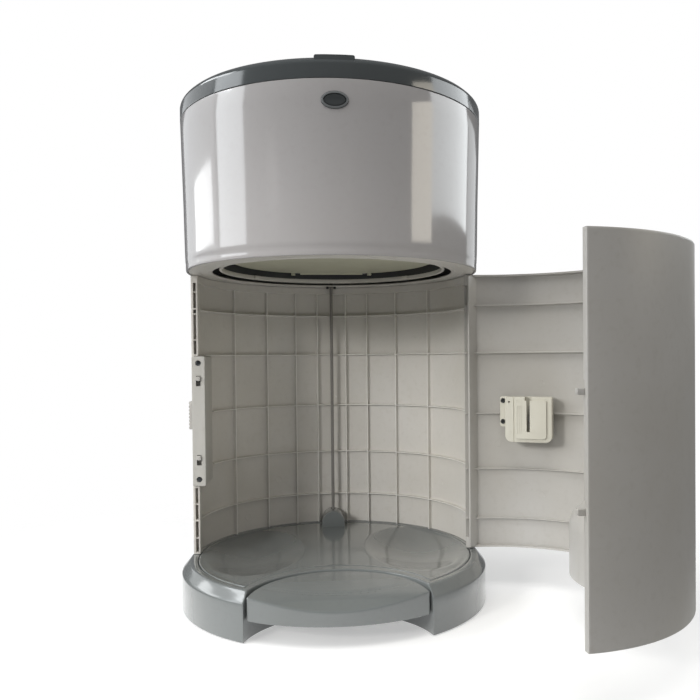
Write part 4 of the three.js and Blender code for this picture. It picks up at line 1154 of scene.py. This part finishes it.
def flap(side):
    disc = lathe([(0, 380), (113.5, 380, 0.8), (113.5, 383, 0.8), (108, 383, 0.3), (107.4, 382.5, 0.3),
                  (60, 382.5), (0, 382.5)], 180)
    body = common(disc, block((-200, 0.4, 300), (200, 107, 500)))
    body = cut(body, block((40, 99, 300), (90, 200, 500)), block((-90, 99, 300), (-40, 200, 500)))
    ribs = [box((x - 0.7, 6, 382), (x + 0.7, 98, 383), 0.3) for x in (-60, -30, 0, 30, 60)]
    ribs.append(box((-104, 1, 382), (104, 2.4, 383), 0.3))
    body = merge(body, *[common(r, core(107, 300, 420)) for r in ribs])
    body = merge(body, rod("x", 3.2, -40, 40, FLAP_PIN, 0.4, 32))
    body = cut(body, rod("x", 1.8, -60, 60, FLAP_PIN, 0.1, 20))
    return body if side > 0 else mirrored(body, 1)


piece("drum_skin", upper_shell(), "housing", "shell_white", ["upper_shell"], 30)
piece("drum_collar", collar_plate(), "housing", "cabinet_white", ["collar_plate"], 30)
lug = box((3.2, 143.4, SHELL_BOTTOM - 2.2), (6.5, 148.6, SHELL_BOTTOM + 1.3), 0.4)
piece("rod_lugs", joined(lug, mirrored(lug, 0)), "housing", "dark_plastic", ["collar_plate"], 30)
piece("refill_band", refill_band(), "housing", "cabinet_white", ["refill_ring"], 30)
piece("refill_trough", refill_walls(), "housing", "dark_plastic",
      ["refill_ring", "refill_floor", "refill_wall"], 30)
piece("throat", funnel(), "housing", "flap_ivory", ["funnel", "throat_tube"], 30)
piece("deck", deck_ring(), "housing", "cabinet_white", ["deck_ring"], 30)
for name, side in (("front_flap", -1), ("rear_flap", 1)):
    piece(name + "_leaf", flap(side), name, "flap_ivory", [name], 30)
    pin = rod("x", 1.5, -51, 51, flap_pin(side), 0.4, 28)
    spring = coil("x", 2.5, 0.3, 40.6, 45.2, flap_pin(side), 5)
    piece(name + "_axle", pin, "housing", "steel", [name + "_pin"])
    piece(name + "_coil", spring, "housing", "steel", [name + "_spring"])


# ---------------------------------------------------------------- build: lid
def pin_arc(across, high, start, end, count):
    """Points (y, z) on an arc about the lid pin."""
    y, z = LID_PIN
    return [(y + across * math.cos(t), z + high * math.sin(t)) for t in np.linspace(start, end, count)]


def lid_shell():
    r, top = LID_R, LID_TOP
    outline = [(r, LID_BOTTOM, 0.6), (r, top - 6.2, 6), (r - 6.2, top - 0.75, 9), (120, top - 0.12, 40),
               (0, top), (0, top - SKIN), (118, top - SKIN - 0.2, 20), (r - 8.6, top - SKIN - 0.8, 2),
               (r - 4.6, top - 5.4, 2), (r - SKIN, top - 10, 2), (r - SKIN, LID_BOTTOM, 0.5)]
    lid = lathe(outline, 200, 8)
    nib = common(box((-19, -r, top - 5), (19, -r + 7, top - 0.3), 1.6, 2.4),
                 core(r - 1.4, 500, 600, 0.1, 200))
    lid = merge(lid, nib)
    lid = cut(lid, block((-21.7, 150.5, 500), (21.7, 200, top - 4.2)))
    lid = merge(lid, box((-6, 142, 537), (6, 152, top - 1.4), 0.6, 1))
    for x in (-13, 13):
        outline = [(154, top - 1.4), (163, top - 1.4), *pin_arc(4.5, 4.5, 0, -math.pi, 19)]
        lid = merge(lid, prism(outline, x - 2.5, x + 2.5, 0.3, "x"))
    return cut(lid, rod("x", 2.3, -40, 40, LID_PIN, 0.1, 24))


def hinge_bracket():
    shape = box((-20.5, 159.4, 500), (20.5, 162.4, 526), 0.4, 1.0, "y")
    for side in (-1, 1):
        a, b = sorted((side * 16.5, side * 20.5))
        arc = pin_arc(3.9, 4, 0.1, math.pi - 0.1, 17)
        outline = [(153.6, 500), (162.4, 500), (162.4, LID_PIN[1]), *arc, (153.6, 530)]
        shape = merge(shape, prism(outline, a, b, 0.3, "x"))
    return cut(shape, rod("x", 2.3, -40, 40, LID_PIN, 0.1, 24))


PAN_TOP = LID_TOP - SKIN - 1.3
SEAL_TOP = LID_TOP - SKIN - 1.5
lid_pan = lathe([(0, 535), (60, 535), (61, 535.5, 0.3), (90, 535.5, 0.3), (91, 535, 0.3), (129.4, 535, 2),
                 (133, 538, 2), (133, PAN_TOP, 0.4), (131, PAN_TOP, 0.4), (131, 539, 1), (129, 537, 1),
                 (0, 537)], 180)
lid_seal = lathe([(133.3, 527.6, 0.8), (137.8, 527.6, 1.6), (137.2, 531, 0.4), (137.8, 534, 0.5),
                  (137.8, SEAL_TOP, 0.4), (133.3, SEAL_TOP, 0.4)], 180)
piece("lid_cap", lid_shell(), "lid", "lid_grey", ["lid_shell"], 30)
piece("lid_pan", lid_pan, "lid", "cabinet_white", ["lid_liner"], 30)
piece("lid_gasket", lid_seal, "lid", "rubber", ["lid_seal"], 30)
piece("lid_bracket", hinge_bracket(), "housing", "dark_plastic", ["hinge_bracket"], 30)
piece("lid_pin", rod("x", 2, -20, 20, LID_PIN, 0.5, 32), "housing", "steel", ["lid_hinge_pin"])

# ---------------------------------------------------------------- build: lock button
bezel = cut(facing_y(oval(25.2, 16.0, BUTTON_Z), -167.8, -157, 0.9),
            facing_y(oval(21.4, 12.2, BUTTON_Z), -190, -150, 0.1))


def button_cap():
    loops = []
    for depth, shrink in ((-156, 0), (-166.4, 0), (-167.0, 0.25), (-167.25, 0.8), (-167.3, 1.6),
                          (-167.05, 3.2), (-166.9, 5)):
        outline = oval(20.8 - 2 * shrink, 11.6 - 2 * shrink, BUTTON_Z)
        loops.append([(x, depth, z) for x, z in outline])
    return cut(loft(loops), rod("y", 4, -163, -150, (0, BUTTON_Z), 0.2, 32))


piece("button_ring", bezel, "housing", "button_grey", ["button_bezel"], 30, "ring_grey")
piece("button_cap", button_cap(), "button", "button_grey", ["lock_button"], 30)
button_coil = piece("button_coil", coil("y", 3.4, 0.35, -162.6, -152, (0, BUTTON_Z), 6), "button", "steel",
                    ["button_spring"])
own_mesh(button_coil)
